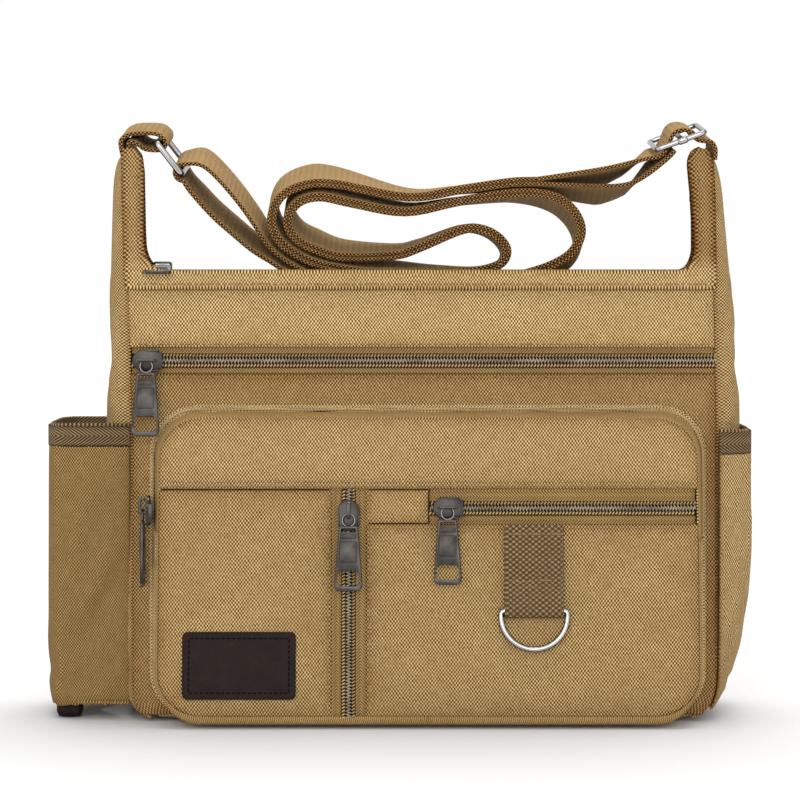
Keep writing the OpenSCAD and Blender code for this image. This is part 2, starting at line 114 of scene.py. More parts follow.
# The side seams' x at heights up the bag: its bottom corners are round
SEAM_Z = (0, 1.5, 4, 8, 14, 24, 152, 239, 285, 304)
LEFT_SEAM = (-141, -146, -151, -154.4, -155.4, -155.6, -155.6, -158.2, -160.0, -160.4)
RIGHT_SEAM = (138, 143, 148, 152.0, 154.6, 155.6, 155.6, 153.8, 153.4, 151.6)


def on_body(x, v, w):
    """The front, drawn in or out so that its sides meet the side seams."""
    v = np.asarray(v, float)
    left, right = np.interp(v, SEAM_Z, LEFT_SEAM), np.interp(v, SEAM_Z, RIGHT_SEAM)
    k = (np.asarray(x, float) + HALF_W) / (2 * HALF_W)
    return on_front(left + k * (right - left), v, w)


def on_body_back(x, v, w):
    return on_body(x, v, w) * [1, -1, 1]


def on_back_and_ear(x, v, w):
    return on_front_and_ear(x, v, w) * [1, -1, 1]


def on_face(x, q, f):
    """The box pocket's face: q up it from its bottom edge, f out of it."""
    s, c = math.sin(FACE_LEAN), math.cos(FACE_LEAN)
    x, q, f = np.broadcast_arrays(x, q, f)
    return on_front(x, FACE[2] + q * c + f * s, BOX_OUT - q * s + f * c)


def lean_of(x):
    """How much the strap leans across its width, in degrees, along the bag."""
    return np.interp(x, [-138, -120, -60, 0, 45, 75, 95, 110, 122, 150],
                     [10, 15, 15, 4, -2, -9, -13, -6, 8, 8])


def in_strap(x, u, s):
    """x, up from the strap's lowest line, and across the strap from its near edge."""
    x, u, s = (np.asarray(a, float) for a in np.broadcast_arrays(x, u, s))
    a = np.radians(STRAP_LEAN)
    b = np.radians(lean_of(x))
    return np.stack([x, STRAP_Y - u * np.sin(a) + s * np.cos(b),
                     STRAP_Z + u * np.cos(a) + s * np.sin(b)], -1)


# ---- materials ----


def srgb(r, g, b):
    """A colour from 0 to 255 in sRGB, as Blender's linear colour."""
    return [((c / 255 + 0.055) / 1.055) ** 2.4 if c > 10 else c / 3295 for c in (r, g, b)] + [1]


LIGHT_GAIN = 1.54


def seen(r, g, b):
    """The base colour that shows as this sRGB colour in the studio's light."""
    return [c / LIGHT_GAIN for c in srgb(r, g, b)[:3]] + [1]


# The colour that painted shade multiplies the cloth's colour by, in folds, along seams and over shaded
# panels
PAINTED_SHADE_TINT = (0.26, 0.13, 0.01, 1)


class Nodes:
    """A material's node tree, written as expressions."""

    def __init__(self, name, roughness, metallic=0.0, specular=0.5):
        self.material = bpy.data.materials.new(name)
        self.material.use_nodes = True
        self.tree = self.material.node_tree
        self.shader = self.tree.nodes["Principled BSDF"]
        self.shader.inputs["Roughness"].default_value = roughness
        self.shader.inputs["Metallic"].default_value = metallic
        self.shader.inputs["Specular IOR Level"].default_value = specular

    def node(self, kind, **values):
        n = self.tree.nodes.new("ShaderNode" + kind)
        for key, value in values.items():
            setattr(n, key, value)
        return n

    def set(self, socket, value):
        """Links a socket to another, or gives it a value."""
        if isinstance(value, bpy.types.NodeSocket):
            self.tree.links.new(value, socket)
        elif value is not None:
            socket.default_value = value

    def math(self, operation, a, b=None, c=None):
        n = self.node("Math", operation=operation)
        for socket, value in zip(n.inputs, (a, b, c)):
            self.set(socket, value)
        return n.outputs[0]

    def uv(self):
        """The piece's own cloth coordinates, in millimetres."""
        n = self.node("UVMap", uv_map="cloth")
        s = self.node("SeparateXYZ")
        self.set(s.inputs[0], n.outputs[0])
        return n.outputs[0], s.outputs[0], s.outputs[1]

    def stretch(self, vector, x, y, z=1.0):
        """A vector multiplied by a number along each axis."""
        n = self.node("VectorMath", operation="MULTIPLY")
        self.set(n.inputs[0], vector)
        n.inputs[1].default_value = (x, y, z)
        return n.outputs[0]

    def noise(self, vector, scale, detail=2.0):
        n = self.node("TexNoise")
        self.set(n.inputs["Vector"], vector)
        n.inputs["Scale"].default_value = scale
        n.inputs["Detail"].default_value = detail
        return n.outputs[0]

    def add(self, value, share, base, centre=0.0):
        """base + share * (value - centre)."""
        if centre:
            value = self.math("SUBTRACT", value, centre)
        return self.math("MULTIPLY_ADD", value, share, base)

    def ramp(self, factor, *stops):
        """Colours at places from 0 to 1, blended between them."""
        n = self.node("ValToRGB")
        self.set(n.inputs[0], factor)
        points = n.color_ramp.elements
        points[0].position, points[0].color = stops[0]
        points[1].position, points[1].color = stops[-1]
        for at, colour in stops[1:-1]:
            points.new(at).color = colour
        return n.outputs[0]

    def mix(self, factor, a, b, kind="MIX"):
        n = self.node("Mix", data_type="RGBA", blend_type=kind)
        self.set(n.inputs[0], factor)
        self.set(n.inputs[6], a)
        self.set(n.inputs[7], b)
        return n.outputs[2]

    def finish(self, colour, height=None, depth=0.3, roughness=None):
        """Joins up the shader: height is a bump of depth mm."""
        self.set(self.shader.inputs["Base Color"], colour)
        if height is not None:
            bump = self.node("Bump")
            bump.inputs["Distance"].default_value = depth * MM
            self.set(bump.inputs["Height"], height)
            self.set(self.shader.inputs["Normal"], bump.outputs[0])
        if roughness is not None:
            self.set(self.shader.inputs["Roughness"], roughness)
        return self.material


def woven(name, warp, weft, stops, worn, depth=0.35, wander=0.3, patchy=0.45):
    """Plain weave: raised threads like a chequerboard of cells, warp by weft mm.

    wander bends the threads, and patchy is how much of the worn colour shows.
    """
    m = Nodes(name, 0.9, specular=0.05)
    vector, u, v = m.uv()
    drift = m.math("SUBTRACT", m.noise(vector, 0.16, 3.0), 0.5)
    u, v = m.add(drift, wander * warp * 4, u), m.add(drift, wander * weft * 4, v)
    cells = m.math("MULTIPLY", m.math("SINE", m.math("MULTIPLY", u, PI / warp)),
                   m.math("SINE", m.math("MULTIPLY", v, PI / weft)))
    slub = m.math("ADD", m.noise(m.stretch(vector, 0.12, 1.0 / weft), 1.0, 1.0),
                  m.noise(m.stretch(vector, 1.0 / warp, 0.12), 1.0, 1.0))
    fibre = m.noise(vector, 3.2, 2.0)
    # The cells make the threads on top lighter and those beneath darker: painted highlight and painted
    # shade on the weave, over the yarn's own slubs and fibres.
    tone = m.add(slub, 0.30, m.add(cells, 0.66, 0.5), 1.0)
    tone = m.add(fibre, 0.42, tone, 0.5)
    colour = m.ramp(tone, *stops)
    # The wear noise patches in the worn colour, and also varies the painted shade below.
    wear_and_shade_noise = m.noise(vector, 0.035, 4.0)
    colour = m.mix(m.math("MULTIPLY", m.math("SUBTRACT", wear_and_shade_noise, 0.35), patchy), colour, worn)
    # Painted shade: the piece's shade attribute, varied by the wear noise, multiplies the colour by the
    # shade tint.
    painted_shade = m.node("Attribute", attribute_name="painted_shade").outputs["Fac"]
    painted_shade = m.add(wear_and_shade_noise, 0.25, painted_shade, 0.5)
    painted_shade = m.math("MINIMUM", m.math("MAXIMUM", painted_shade, 0.0), 0.9)
    colour = m.mix(painted_shade, colour, PAINTED_SHADE_TINT, "MULTIPLY")
    height = m.add(fibre, 0.25, m.add(cells, 0.5, slub))
    return m.finish(colour, height, depth)


def ribbed(name, pitch, across, stops, depth=0.3, pick=0.16, steep=1.0):
    """Webbing or tape: herringbone picks, pitch mm apart, that turn back every across mm.

    pick is how strongly they show, and steep is how far they lean.
    """
    m = Nodes(name, 0.8, specular=0.08)
    vector, u, v = m.uv()
    zigzag = m.math("MULTIPLY", m.math("PINGPONG", u, across), steep)
    picks = m.math("SINE", m.math("MULTIPLY", m.math("ADD", v, zigzag), 2 * PI / pitch))
    ribs = m.math("SINE", m.math("MULTIPLY", u, 2 * PI / across))
    fibre = m.noise(vector, 1.6, 2.0)
    slow = m.noise(m.stretch(vector, 0.02, 0.02), 1.0, 2.0)
    tone = m.add(ribs, 0.05, m.add(picks, pick, 0.5))
    tone = m.add(slow, 0.3, m.add(fibre, 0.5, tone, 0.5), 0.5)
    height = m.add(picks, 0.5, m.add(ribs, 0.3, fibre))
    return m.finish(m.ramp(tone, *stops), height, depth)


# Where the painted reflection bands of a metal change, by how far its surface turns from the camera
PAINTED_REFLECTION_STOPS = (0.0, 0.14, 0.3, 0.46, 0.64, 0.85)


def metal(name, light, dark, roughness, scratches=0.12, metallic=1.0, rim=(1, 1, 1, 1, 1, 1)):
    """Plated metal with fine scratches; smudges and painted reflections mottle its colour, and rim gives
    painted reflection bands by how far the surface turns from the camera.
    """
    m = Nodes(name, roughness, metallic=metallic)
    place = m.node("TexCoord").outputs["Object"]
    # Painted reflections and smudges: a blotchy change between the dark and the light colour.
    smear_and_reflection = m.noise(place, 90.0, 4.0)
    fine = m.noise(m.stretch(place, 1, 6, 1), 900.0, 2.0)
    colour = m.ramp(smear_and_reflection, (0.3, dark), (0.7, light))
    if metallic:
        # Painted reflection: bands darker and lighter as the surface turns from the camera.
        turned = m.node("LayerWeight")
        turned.inputs["Blend"].default_value = 0.5
        shade = m.ramp(turned.outputs["Facing"], *[(at, (k, k, k, 1)) for at, k in zip(PAINTED_REFLECTION_STOPS, rim)])
        colour = m.mix(1.0, colour, shade, "MULTIPLY")
    rough = m.add(fine, scratches, roughness - scratches / 2)
    return m.finish(colour, fine, 0.03, rough)


def leather_material(name):
    """Grained leather: small cells with smudges over them."""
    m = Nodes(name, 0.5, specular=0.12)
    vector = m.uv()[0]
    cells = m.node("TexVoronoi", feature="DISTANCE_TO_EDGE")
    m.set(cells.inputs["Vector"], vector)
    cells.inputs["Scale"].default_value = 1.25
    grain = m.math("MINIMUM", m.math("MULTIPLY", cells.outputs[0], 3.0), 1.0)
    smudge = m.noise(vector, 0.12, 3.0)
    tone = m.add(grain, 0.35, m.math("MULTIPLY", smudge, 0.65))
    colour = m.ramp(tone, (0.2, seen(24, 14, 11)), (0.6, seen(43, 29, 25)), (0.9, seen(62, 44, 37)))
    rough = m.add(smudge, 0.25, 0.42)
    return m.finish(colour, grain, 0.12, rough)


def thread_material(name, dark, light):
    """Twisted sewing thread."""
    m = Nodes(name, 0.7, specular=0.1)
    vector, u, v = m.uv()
    ply = m.math("SINE", m.math("MULTIPLY", m.math("MULTIPLY_ADD", u, 1.0, v), 2 * PI / 0.7))
    tone = m.math("MULTIPLY_ADD", ply, 0.25, m.noise(vector, 0.8, 2.0))
    return m.finish(m.ramp(tone, (0.2, dark), (0.8, light)), ply, 0.08)


CANVAS = woven("canvas", 0.84, 1.1,
               [(0.05, seen(92, 56, 14)), (0.36, seen(158, 116, 56)), (0.60, seen(212, 174, 112)),
                (0.90, seen(268, 246, 190))], seen(198, 163, 104))
# The bottle pocket's canvas: a darker copy of the canvas, as painted shade on the bag's left side.
SHADED_POCKET_CANVAS = woven("bottle_canvas_painted_shade", 0.78, 1.0,
                      [(0.08, seen(88, 60, 24)), (0.36, seen(128, 96, 50)),
                       (0.60, seen(160, 127, 76)), (0.95, seen(208, 178, 122))],
                      seen(152, 120, 72))
LINING = woven("lining_cloth", 0.7, 0.7,
               [(0.2, seen(48, 36, 24)), (0.8, seen(92, 74, 52))], seen(66, 52, 36), 0.15)
WEBBING = ribbed("webbing_face", 1.5, 3.2,
                 [(0.15, seen(122, 90, 48)), (0.5, seen(176, 142, 92)), (0.85, seen(208, 176, 124))],
                 pick=0.2)
WEBBING_EDGE = woven("webbing_edge", 1.05, 1.1,
                     [(0.05, seen(20, 10, 4)), (0.40, seen(86, 52, 22)),
                      (0.62, seen(146, 98, 50)), (0.95, seen(226, 178, 116))],
                     seen(120, 80, 40), 0.8, patchy=0.2)
TAPE = ribbed("zip_tape_cloth", 1.6, 3.1,
              [(0.15, seen(96, 68, 32)), (0.5, seen(152, 120, 70)), (0.85, seen(204, 172, 118))],
              0.25, 0.28)
BAND = ribbed("box_band_cloth", 1.1, 60.0,
              [(0.15, seen(104, 72, 32)), (0.5, seen(158, 124, 70)), (0.85, seen(206, 172, 116))],
              0.25, 0.3)
BINDING = ribbed("binding_cloth", 2.5, 6.8,
                 [(0.12, seen(44, 30, 14)), (0.5, seen(120, 95, 62)), (0.88, seen(184, 156, 118))],
                 0.5, 0.34, 1.6)
TAB = woven("tab_webbing_cloth", 1.35, 1.7,
            [(0.0, seen(82, 62, 36)), (0.40, seen(112, 88, 56)), (0.62, seen(130, 105, 72)),
             (1.0, seen(182, 160, 126))], seen(122, 99, 68), 0.9, wander=0.1, patchy=0.8)
# Dark cloth under the zips' coils: painted shade beneath and between the teeth.
CHAIN_SHADE_BED = woven("chain_shade_bed", 0.9, 0.9,
                  [(0.2, seen(30, 20, 10)), (0.8, seen(78, 58, 32))], seen(52, 38, 22), 0.1)
COIL = metal("coil_nylon", seen(206, 194, 170), seen(138, 124, 100), 0.35, 0.1, 0.0)
# The last numbers of each plated metal are the brightness of its painted reflection bands.
GUNMETAL = metal("gunmetal_plate", srgb(164, 159, 154), srgb(112, 106, 101), 0.3, 0.12, 1.0,
                 (0.15, 0.22, 0.75, 0.34, 0.10, 0.5))
DARK_METAL = metal("gunmetal_dark", srgb(70, 64, 60), srgb(40, 36, 33), 0.38, 0.12, 1.0)
NICKEL = metal("nickel_plate", srgb(236, 233, 230), srgb(206, 202, 199), 0.12, 0.06, 1.0,
               (0.42, 0.85, 0.30, 0.10, 0.30, 0.03))
RING_METAL = metal("gunmetal_ring", srgb(132, 128, 124), srgb(98, 94, 90), 0.2, 0.08, 1.0,
                   (0.55, 0.8, 0.15, 0.4, 0.12, 0.04))
LEATHER = leather_material("brown_leather")
THREAD = thread_material("thread_khaki", seen(128, 94, 50), seen(220, 188, 132))
DARK_THREAD = thread_material("thread_brown", seen(6, 4, 3), seen(30, 22, 20))
TAN_THREAD = thread_material("thread_tan", seen(160, 106, 44), seen(232, 184, 112))
ZIP_THREAD = thread_material("thread_zip", seen(176, 132, 72), seen(250, 218, 156))


# ---- mesh making ----


def along(path):
    """The distance run at each point of a path."""
    return np.concatenate([[0], np.cumsum(np.linalg.norm(np.diff(path, axis=0), axis=-1))])


def circle(cx, cy, r, a0, a1, n=10):
    """Points on a circle from one angle to another, in degrees."""
    a = np.radians(np.linspace(a0, a1, n))
    return [(cx + r * math.cos(t), cy + r * math.sin(t)) for t in a]


def smoothed(a, rounds):
    """Evens out a row of values in place, and keeps its two ends."""
    for _ in range(rounds):
        a[1:-1] = np.convolve(a, [0.25, 0.5, 0.25], "valid")


class Soup:
    """Vertices, faces, cloth coordinates and material numbers of one mesh."""

    def __init__(self):
        self.verts, self.faces, self.uvs, self.mats, self.count = [], [], [], [], 0

    def add(self, verts, faces, uvs=None, mat=0):
        verts = np.asarray(verts, float).reshape(-1, 3)
        uvs = verts[:, :2] if uvs is None else np.asarray(uvs, float).reshape(-1, 2)
        self.verts.append(verts)
        self.uvs.append(uvs)
        self.faces += [[i + self.count for i in f] for f in faces]
        self.mats += [mat] * len(faces)
        self.count += len(verts)
        return self

    def grid(self, points, s=None, t=None, mat=0, flip=False):
        """A sheet through points[i][j]; s and t are cloth coordinates along i and j."""
        n, m = points.shape[:2]
        s = np.asarray(along(points[:, m // 2]) if s is None else s, float)
        t = np.asarray(along(points[n // 2]) if t is None else t, float)
        if s.ndim == 1:
            s = np.broadcast_to(s[:, None], (n, m))
        if t.ndim == 1:
            t = np.broadcast_to(t[None, :], (n, m))
        faces = []
        for i in range(n - 1):
            for j in range(m - 1):
                f = [i * m + j, (i + 1) * m + j, (i + 1) * m + j + 1, i * m + j + 1]
                faces.append(f[::-1] if flip else f)
        return self.add(points, faces, np.stack([s, t], -1), mat)

    def tube(self, path, radius, sides=8, mat=0, closed=False):
        """A round rod along a path, with pointed ends unless it is closed."""
        path = np.asarray(path, float)
        n = len(path)
        if closed:
            tangent = np.roll(path, -1, 0) - np.roll(path, 1, 0)
        else:
            tangent = np.gradient(path, axis=0)
        tangent /= np.linalg.norm(tangent, axis=1)[:, None] + 1e-12
        up = np.array([0, 0, 1.0]) if abs(tangent[0][2]) < 0.8 else np.array([0, 1.0, 0])
        frames = []
        for d in tangent:
            side = np.cross(d, up)
            side /= np.linalg.norm(side) + 1e-12
            up = np.cross(side, d)
            frames.append((side, up))
        a = np.linspace(0, 2 * PI, sides, endpoint=False)
        radius = np.broadcast_to(radius, n)
        rings = np.array([p + r * (np.outer(np.cos(a), x) + np.outer(np.sin(a), y))
                          for p, r, (x, y) in zip(path, radius, frames)])
        length = along(path)
        faces = []
        for i in range(n if closed else n - 1):
            k = (i + 1) % n
            for j in range(sides):
                b = (j + 1) % sides
                faces.append([i * sides + j, k * sides + j, k * sides + b, i * sides + b][::-1])
        verts = rings.reshape(-1, 3)
        uvs = np.stack([np.tile(a * radius.mean(), n), np.repeat(length, sides)], -1)
        if not closed:
            ends = np.array([path[0] - tangent[0] * radius[0] * 0.6,
                             path[-1] + tangent[-1] * radius[-1] * 0.6])
            verts = np.concatenate([verts, ends])
            uvs = np.concatenate([uvs, [[0, 0], [0, length[-1]]]])
            first, last = n * sides, n * sides + 1
            for j in range(sides):
                b = (j + 1) % sides
                faces.append([j, b, first][::-1])
                faces.append([(n - 1) * sides + j, (n - 1) * sides + b, last])
        return self.add(verts, faces, uvs, mat)

    def prism(self, outline, low, high, bevel=0.25, mat=0):
        """A flat plate with eased edges, from an outline that runs anticlockwise."""
        p = np.asarray(outline, float)
        edge = np.roll(p, -1, 0) - p
        normal = np.stack([edge[:, 1], -edge[:, 0]], -1)
        normal /= np.linalg.norm(normal, axis=1)[:, None] + 1e-12
        corner = normal + np.roll(normal, 1, 0)
        corner /= (1 + np.sum(normal * np.roll(normal, 1, 0), 1))[:, None] + 1e-6
        rings = [(low, bevel), (low + 0.3 * bevel, 0.3 * bevel), (low + bevel, 0),
                 (high - bevel, 0), (high - 0.3 * bevel, 0.3 * bevel), (high, bevel)]
        n = len(p)
        verts = np.concatenate([np.column_stack([p - corner * inset, np.full(n, z)])
                                for z, inset in rings])
        faces = [list(range(n))[::-1], list(range(5 * n, 6 * n))]
        for k in range(5):
            for i in range(n):
                j = (i + 1) % n
                faces.append([k * n + i, k * n + j, (k + 1) * n + j, (k + 1) * n + i])
        return self.add(verts, faces, None, mat)

    def build(self, name, materials, smooth=True):
        """Makes the mesh object, with its cloth coordinates and materials."""
        mesh = bpy.data.meshes.new(name)
        verts = np.concatenate(self.verts) * MM
        mesh.from_pydata(verts.tolist(), [], self.faces)
        layer = mesh.uv_layers.new(name="cloth")
        loops = np.empty(len(mesh.loops), np.int32)
        mesh.loops.foreach_get("vertex_index", loops)
        layer.data.foreach_set("uv", np.concatenate(self.uvs)[loops].ravel())
        for m in materials if isinstance(materials, (list, tuple)) else [materials]:
            mesh.materials.append(m)
        mesh.polygons.foreach_set("material_index", self.mats)
        mesh.polygons.foreach_set("use_smooth", [smooth] * len(mesh.polygons))
        mesh.update()
        obj = bpy.data.objects.new(name, mesh)
        bpy.context.scene.collection.objects.link(obj)
        return obj


def painted_shade(obj, values):
    """Paints shade onto the cloth, in folds, along seams and over shaded panels, by a share at each
    point.
    """
    layer = obj.data.attributes.new("painted_shade", "FLOAT", "POINT")
    values = np.broadcast_to(np.asarray(values, np.float32).ravel(), len(obj.data.vertices))
    layer.data.foreach_set("value", np.ascontiguousarray(values))
    return obj


def piece(obj, body="bag", replaces=()):
    """Puts a finished piece on its body, for its CAD nodes."""
    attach(obj, body)
    if replaces:
        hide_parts(*([replaces] if isinstance(replaces, str) else replaces))
    return obj


def bake(obj):
    """Applies the piece's modifiers."""
    bpy.context.view_layer.update()
    done = bpy.data.meshes.new_from_object(obj.evaluated_get(bpy.context.evaluated_depsgraph_get()))
    obj.modifiers.clear()
    obj.data = done
    return obj


def thicken(obj, thickness, smooth=0):
    """Gives a sheet its thickness, inwards from its outer side, after smooth subdivisions."""
    if smooth:
        m = obj.modifiers.new("round", "SUBSURF")
        m.levels = m.render_levels = smooth
    m = obj.modifiers.new("thick", "SOLIDIFY")
    m.thickness, m.offset = thickness * MM, -1.0
    m.use_even_offset = False
    return bake(obj)


settling = []
CLOTH_FRAMES = 18


def settle(obj, held, pressure, slack, cap):
    """Marks a sheet to be let down as cloth: held where held is 1, moving at most cap mm."""
    settling.append((obj, np.asarray(held, float).ravel(), pressure, slack, cap))


def run_cloth():
    """Simulates all marked sheets at once and keeps the result in their meshes."""
    scene = bpy.context.scene
    if not settling:
        return
    scene.gravity = (0, 0, -9.81)
    scene.frame_start, scene.frame_end = 1, CLOTH_FRAMES
    for obj, held, pressure, slack, cap in settling:
        group = obj.vertex_groups.new(name="held")
        for i in np.nonzero(held > 0)[0]:
            group.add([int(i)], float(held[i]), "REPLACE")
        cloth = obj.modifiers.new("cloth", "CLOTH")
        s = cloth.settings
        s.quality, s.mass, s.air_damping = 5, 0.25, 2.0
        s.tension_stiffness = s.compression_stiffness = 25
        s.shear_stiffness, s.bending_stiffness = 12, 1.2
        s.vertex_group_mass = "held"
        s.shrink_min = -slack
        s.use_pressure, s.uniform_pressure_force = True, pressure
        s.effector_weights.gravity = 0.1
        cloth.collision_settings.use_collision = False
    for f in range(1, CLOTH_FRAMES + 1):
        scene.frame_set(f)
    graph = bpy.context.evaluated_depsgraph_get()
    for obj, held, pressure, slack, cap in settling:
        rest = np.empty(len(obj.data.vertices) * 3)
        obj.data.vertices.foreach_get("co", rest)
        now = np.empty_like(rest)
        obj.evaluated_get(graph).data.vertices.foreach_get("co", now)
        move = (now - rest).reshape(-1, 3)
        far = np.linalg.norm(move, axis=1)[:, None] + 1e-9
        move *= cap * MM * np.tanh(far / (cap * MM)) / far
        obj.data.vertices.foreach_set("co", (rest.reshape(-1, 3) + move).ravel())
        obj.modifiers.clear()
        obj.vertex_groups.clear()
        obj.data.update()
    scene.frame_set(1)


def ease(d, r):
    """How far a rounded edge of radius r has dropped, d from the edge."""
    k = np.clip(1 - np.asarray(d, float) / r, 0, 1)
    return r * (1 - np.sqrt(np.clip(1 - k * k, 0, 1)))


def spaced(a, b, step, edge=1.6):
    """Steps from a to b with a few close ones at both ends."""
    n = max(2, int(round((b - a - 2 * edge) / step)))
    ends = np.array([0, 0.12, 0.35, 0.65]) * edge
    return np.concatenate([a + ends, np.linspace(a + edge, b - edge, n + 1), (b - ends)[::-1]])


def ripple(s, seed, length=9.0):
    """An uneven wave along a seam, between about -1 and 1."""
    s = np.asarray(s, float)
    return (np.sin(2 * PI * s / length + seed) + 0.6 * np.sin(2 * PI * s / (length * 0.61) + 2 * seed)
            + 0.5 * np.sin(2 * PI * s / (length * 2.3) + 3.1 * seed)) / 2.1


def inside(x, y, edges, r):
    """How far a point lies inside a rectangle with round corners."""
    cx, cy = (edges[0] + edges[1]) / 2, (edges[2] + edges[3]) / 2
    hx, hy = (edges[1] - edges[0]) / 2 - r, (edges[3] - edges[2]) / 2 - r
    dx, dy = np.abs(x - cx) - hx, np.abs(y - cy) - hy
    return r - np.hypot(np.maximum(dx, 0), np.maximum(dy, 0)) - np.minimum(np.maximum(dx, dy), 0)


def round_corners(x, y, edges, big, r):
    """Draws a grid's rows in, so that they keep within a larger shape's round corners."""
    left, right = edges[:2]
    for y_edge, sign in ((big[2], 1), (big[3], -1)):
        near = np.clip(r - sign * (y - y_edge), 0, r)
        cut = r - np.sqrt(np.clip(r ** 2 - near ** 2, 0, None))
        low_x, high_x = np.maximum(left, big[0] + cut), np.minimum(right, big[1] - cut)
        k = (x - left) / (right - left)
        x = np.where(near > 0, low_x + k * (high_x - low_x), x)
    return x


def panel(name, place, edges, material, out=0.0, crown=0.0, r=1.5, step=5.0, outline=None,
          pucker=0.25, seed=1.0, pressure=0.0, slack=0.0, cap=3.0, flip=False, shade=0.0):
    """A sewn panel in a plane: crowned, puckered along its seams, its edges turned in.

    outline is (edges, corner radius) of a larger round-cornered shape that it is cut from.
    """
    left, right, low, high = edges
    x, y = np.meshgrid(spaced(left, right, step), spaced(low, high, step), indexing="ij")
    d = np.minimum.reduce([x - left, right - x, y - low, high - y])
    if outline:
        x = round_corners(x, y, edges, *outline)
        d = np.minimum(inside(x, y, *outline),
                       np.minimum.reduce([x - left, right - x, y - low, high - y]))
    kx = np.clip((x - left) / (right - left), 0, 1)
    ky = np.clip((y - low) / (high - low), 0, 1)
    w = out + crown * (1 - (2 * kx - 1) ** 4) * (1 - (2 * ky - 1) ** 4)
    w = w + pucker * (ripple(x, seed) * np.exp(-np.minimum(y - low, high - y) / 7)
                      + ripple(y, seed + 1.7) * np.exp(-np.minimum(x - left, right - x) / 7))
    w = w - ease(d, r)
    obj = Soup().grid(place(x, y, w), x, y, flip=flip).build(name, material)
    # Painted shade: the panel's shade over all of it, and more towards its seams and turned edges.
    painted_shade(obj, shade + 0.30 * np.exp(-d / 1.3) + 0.16 * np.exp(-d / 9.0))
    if pressure:
        settle(obj, np.clip(1.6 - d / 3.0, 0, 1), pressure * (-1 if flip else 1), slack, cap)
    obj["thick"] = 1.4
    return obj


# ---- stitching ----


def stitch_row(soup, target, place, path, pitch=3.0, length=2.2, radius=0.33, sink=0.12):
    """A row of stitches along a path of (x, up) points, laid on the target's surface."""
    reach = 12.0
    path = np.asarray(path, float)
    run = along(path)
    count = max(1, int(run[-1] / pitch))
    for i in range(count):
        points = []
        for k in (-0.5, -0.3, 0, 0.3, 0.5):
            at = (i + 0.5) * run[-1] / count + k * length
            x, y = np.interp(at, run, path[:, 0]), np.interp(at, run, path[:, 1])
            top = place(x, y, reach)
            down = place(x, y, -reach) - top
            hit = target.ray_cast(Vector(top * MM), Vector(down).normalized(), 2 * reach * MM)
            if hit[0] is None:
                break
            lift = radius * (0.75 - 5.5 * k * k) - sink
            points.append(np.array(hit[0]) / MM - down / np.linalg.norm(down) * lift)
        if len(points) == 5:
            soup.tube(points, radius, 6)


def tree_of(*objects):
    """One ray-casting tree over several pieces, in metres."""
    verts, faces = [], []
    for o in objects:
        base = len(verts)
        verts += [o.matrix_world @ v.co for v in o.data.vertices]
        faces += [[base + i for i in p.vertices] for p in o.data.polygons]
    return BVHTree.FromPolygons(verts, faces)


# ---- body panels ----

# The shade numbers of the panels are painted shade over each of them.
front_low = panel("body_front_lower", on_body, (-HALF_W, HALF_W, 3.2, ZIP_V - ZIP_GAP / 2), CANVAS,
                  crown=0.8, seed=0.4, pressure=0.9, slack=0.004, cap=1.6, shade=0.42)
front_band = panel("body_front_band", on_body, (-HALF_W, HALF_W, ZIP_V + ZIP_GAP / 2, HEM_V - 0.2),
                   CANVAS, crown=0.6, seed=2.2, pressure=0.9, slack=0.004, cap=1.4)
back_low = panel("body_back", on_body_back, (-HALF_W, HALF_W, 3.2, HEM_V - 0.2), CANVAS, crown=1.5,
                 seed=3.1, pressure=1.2, slack=0.006, cap=3.5, flip=True)


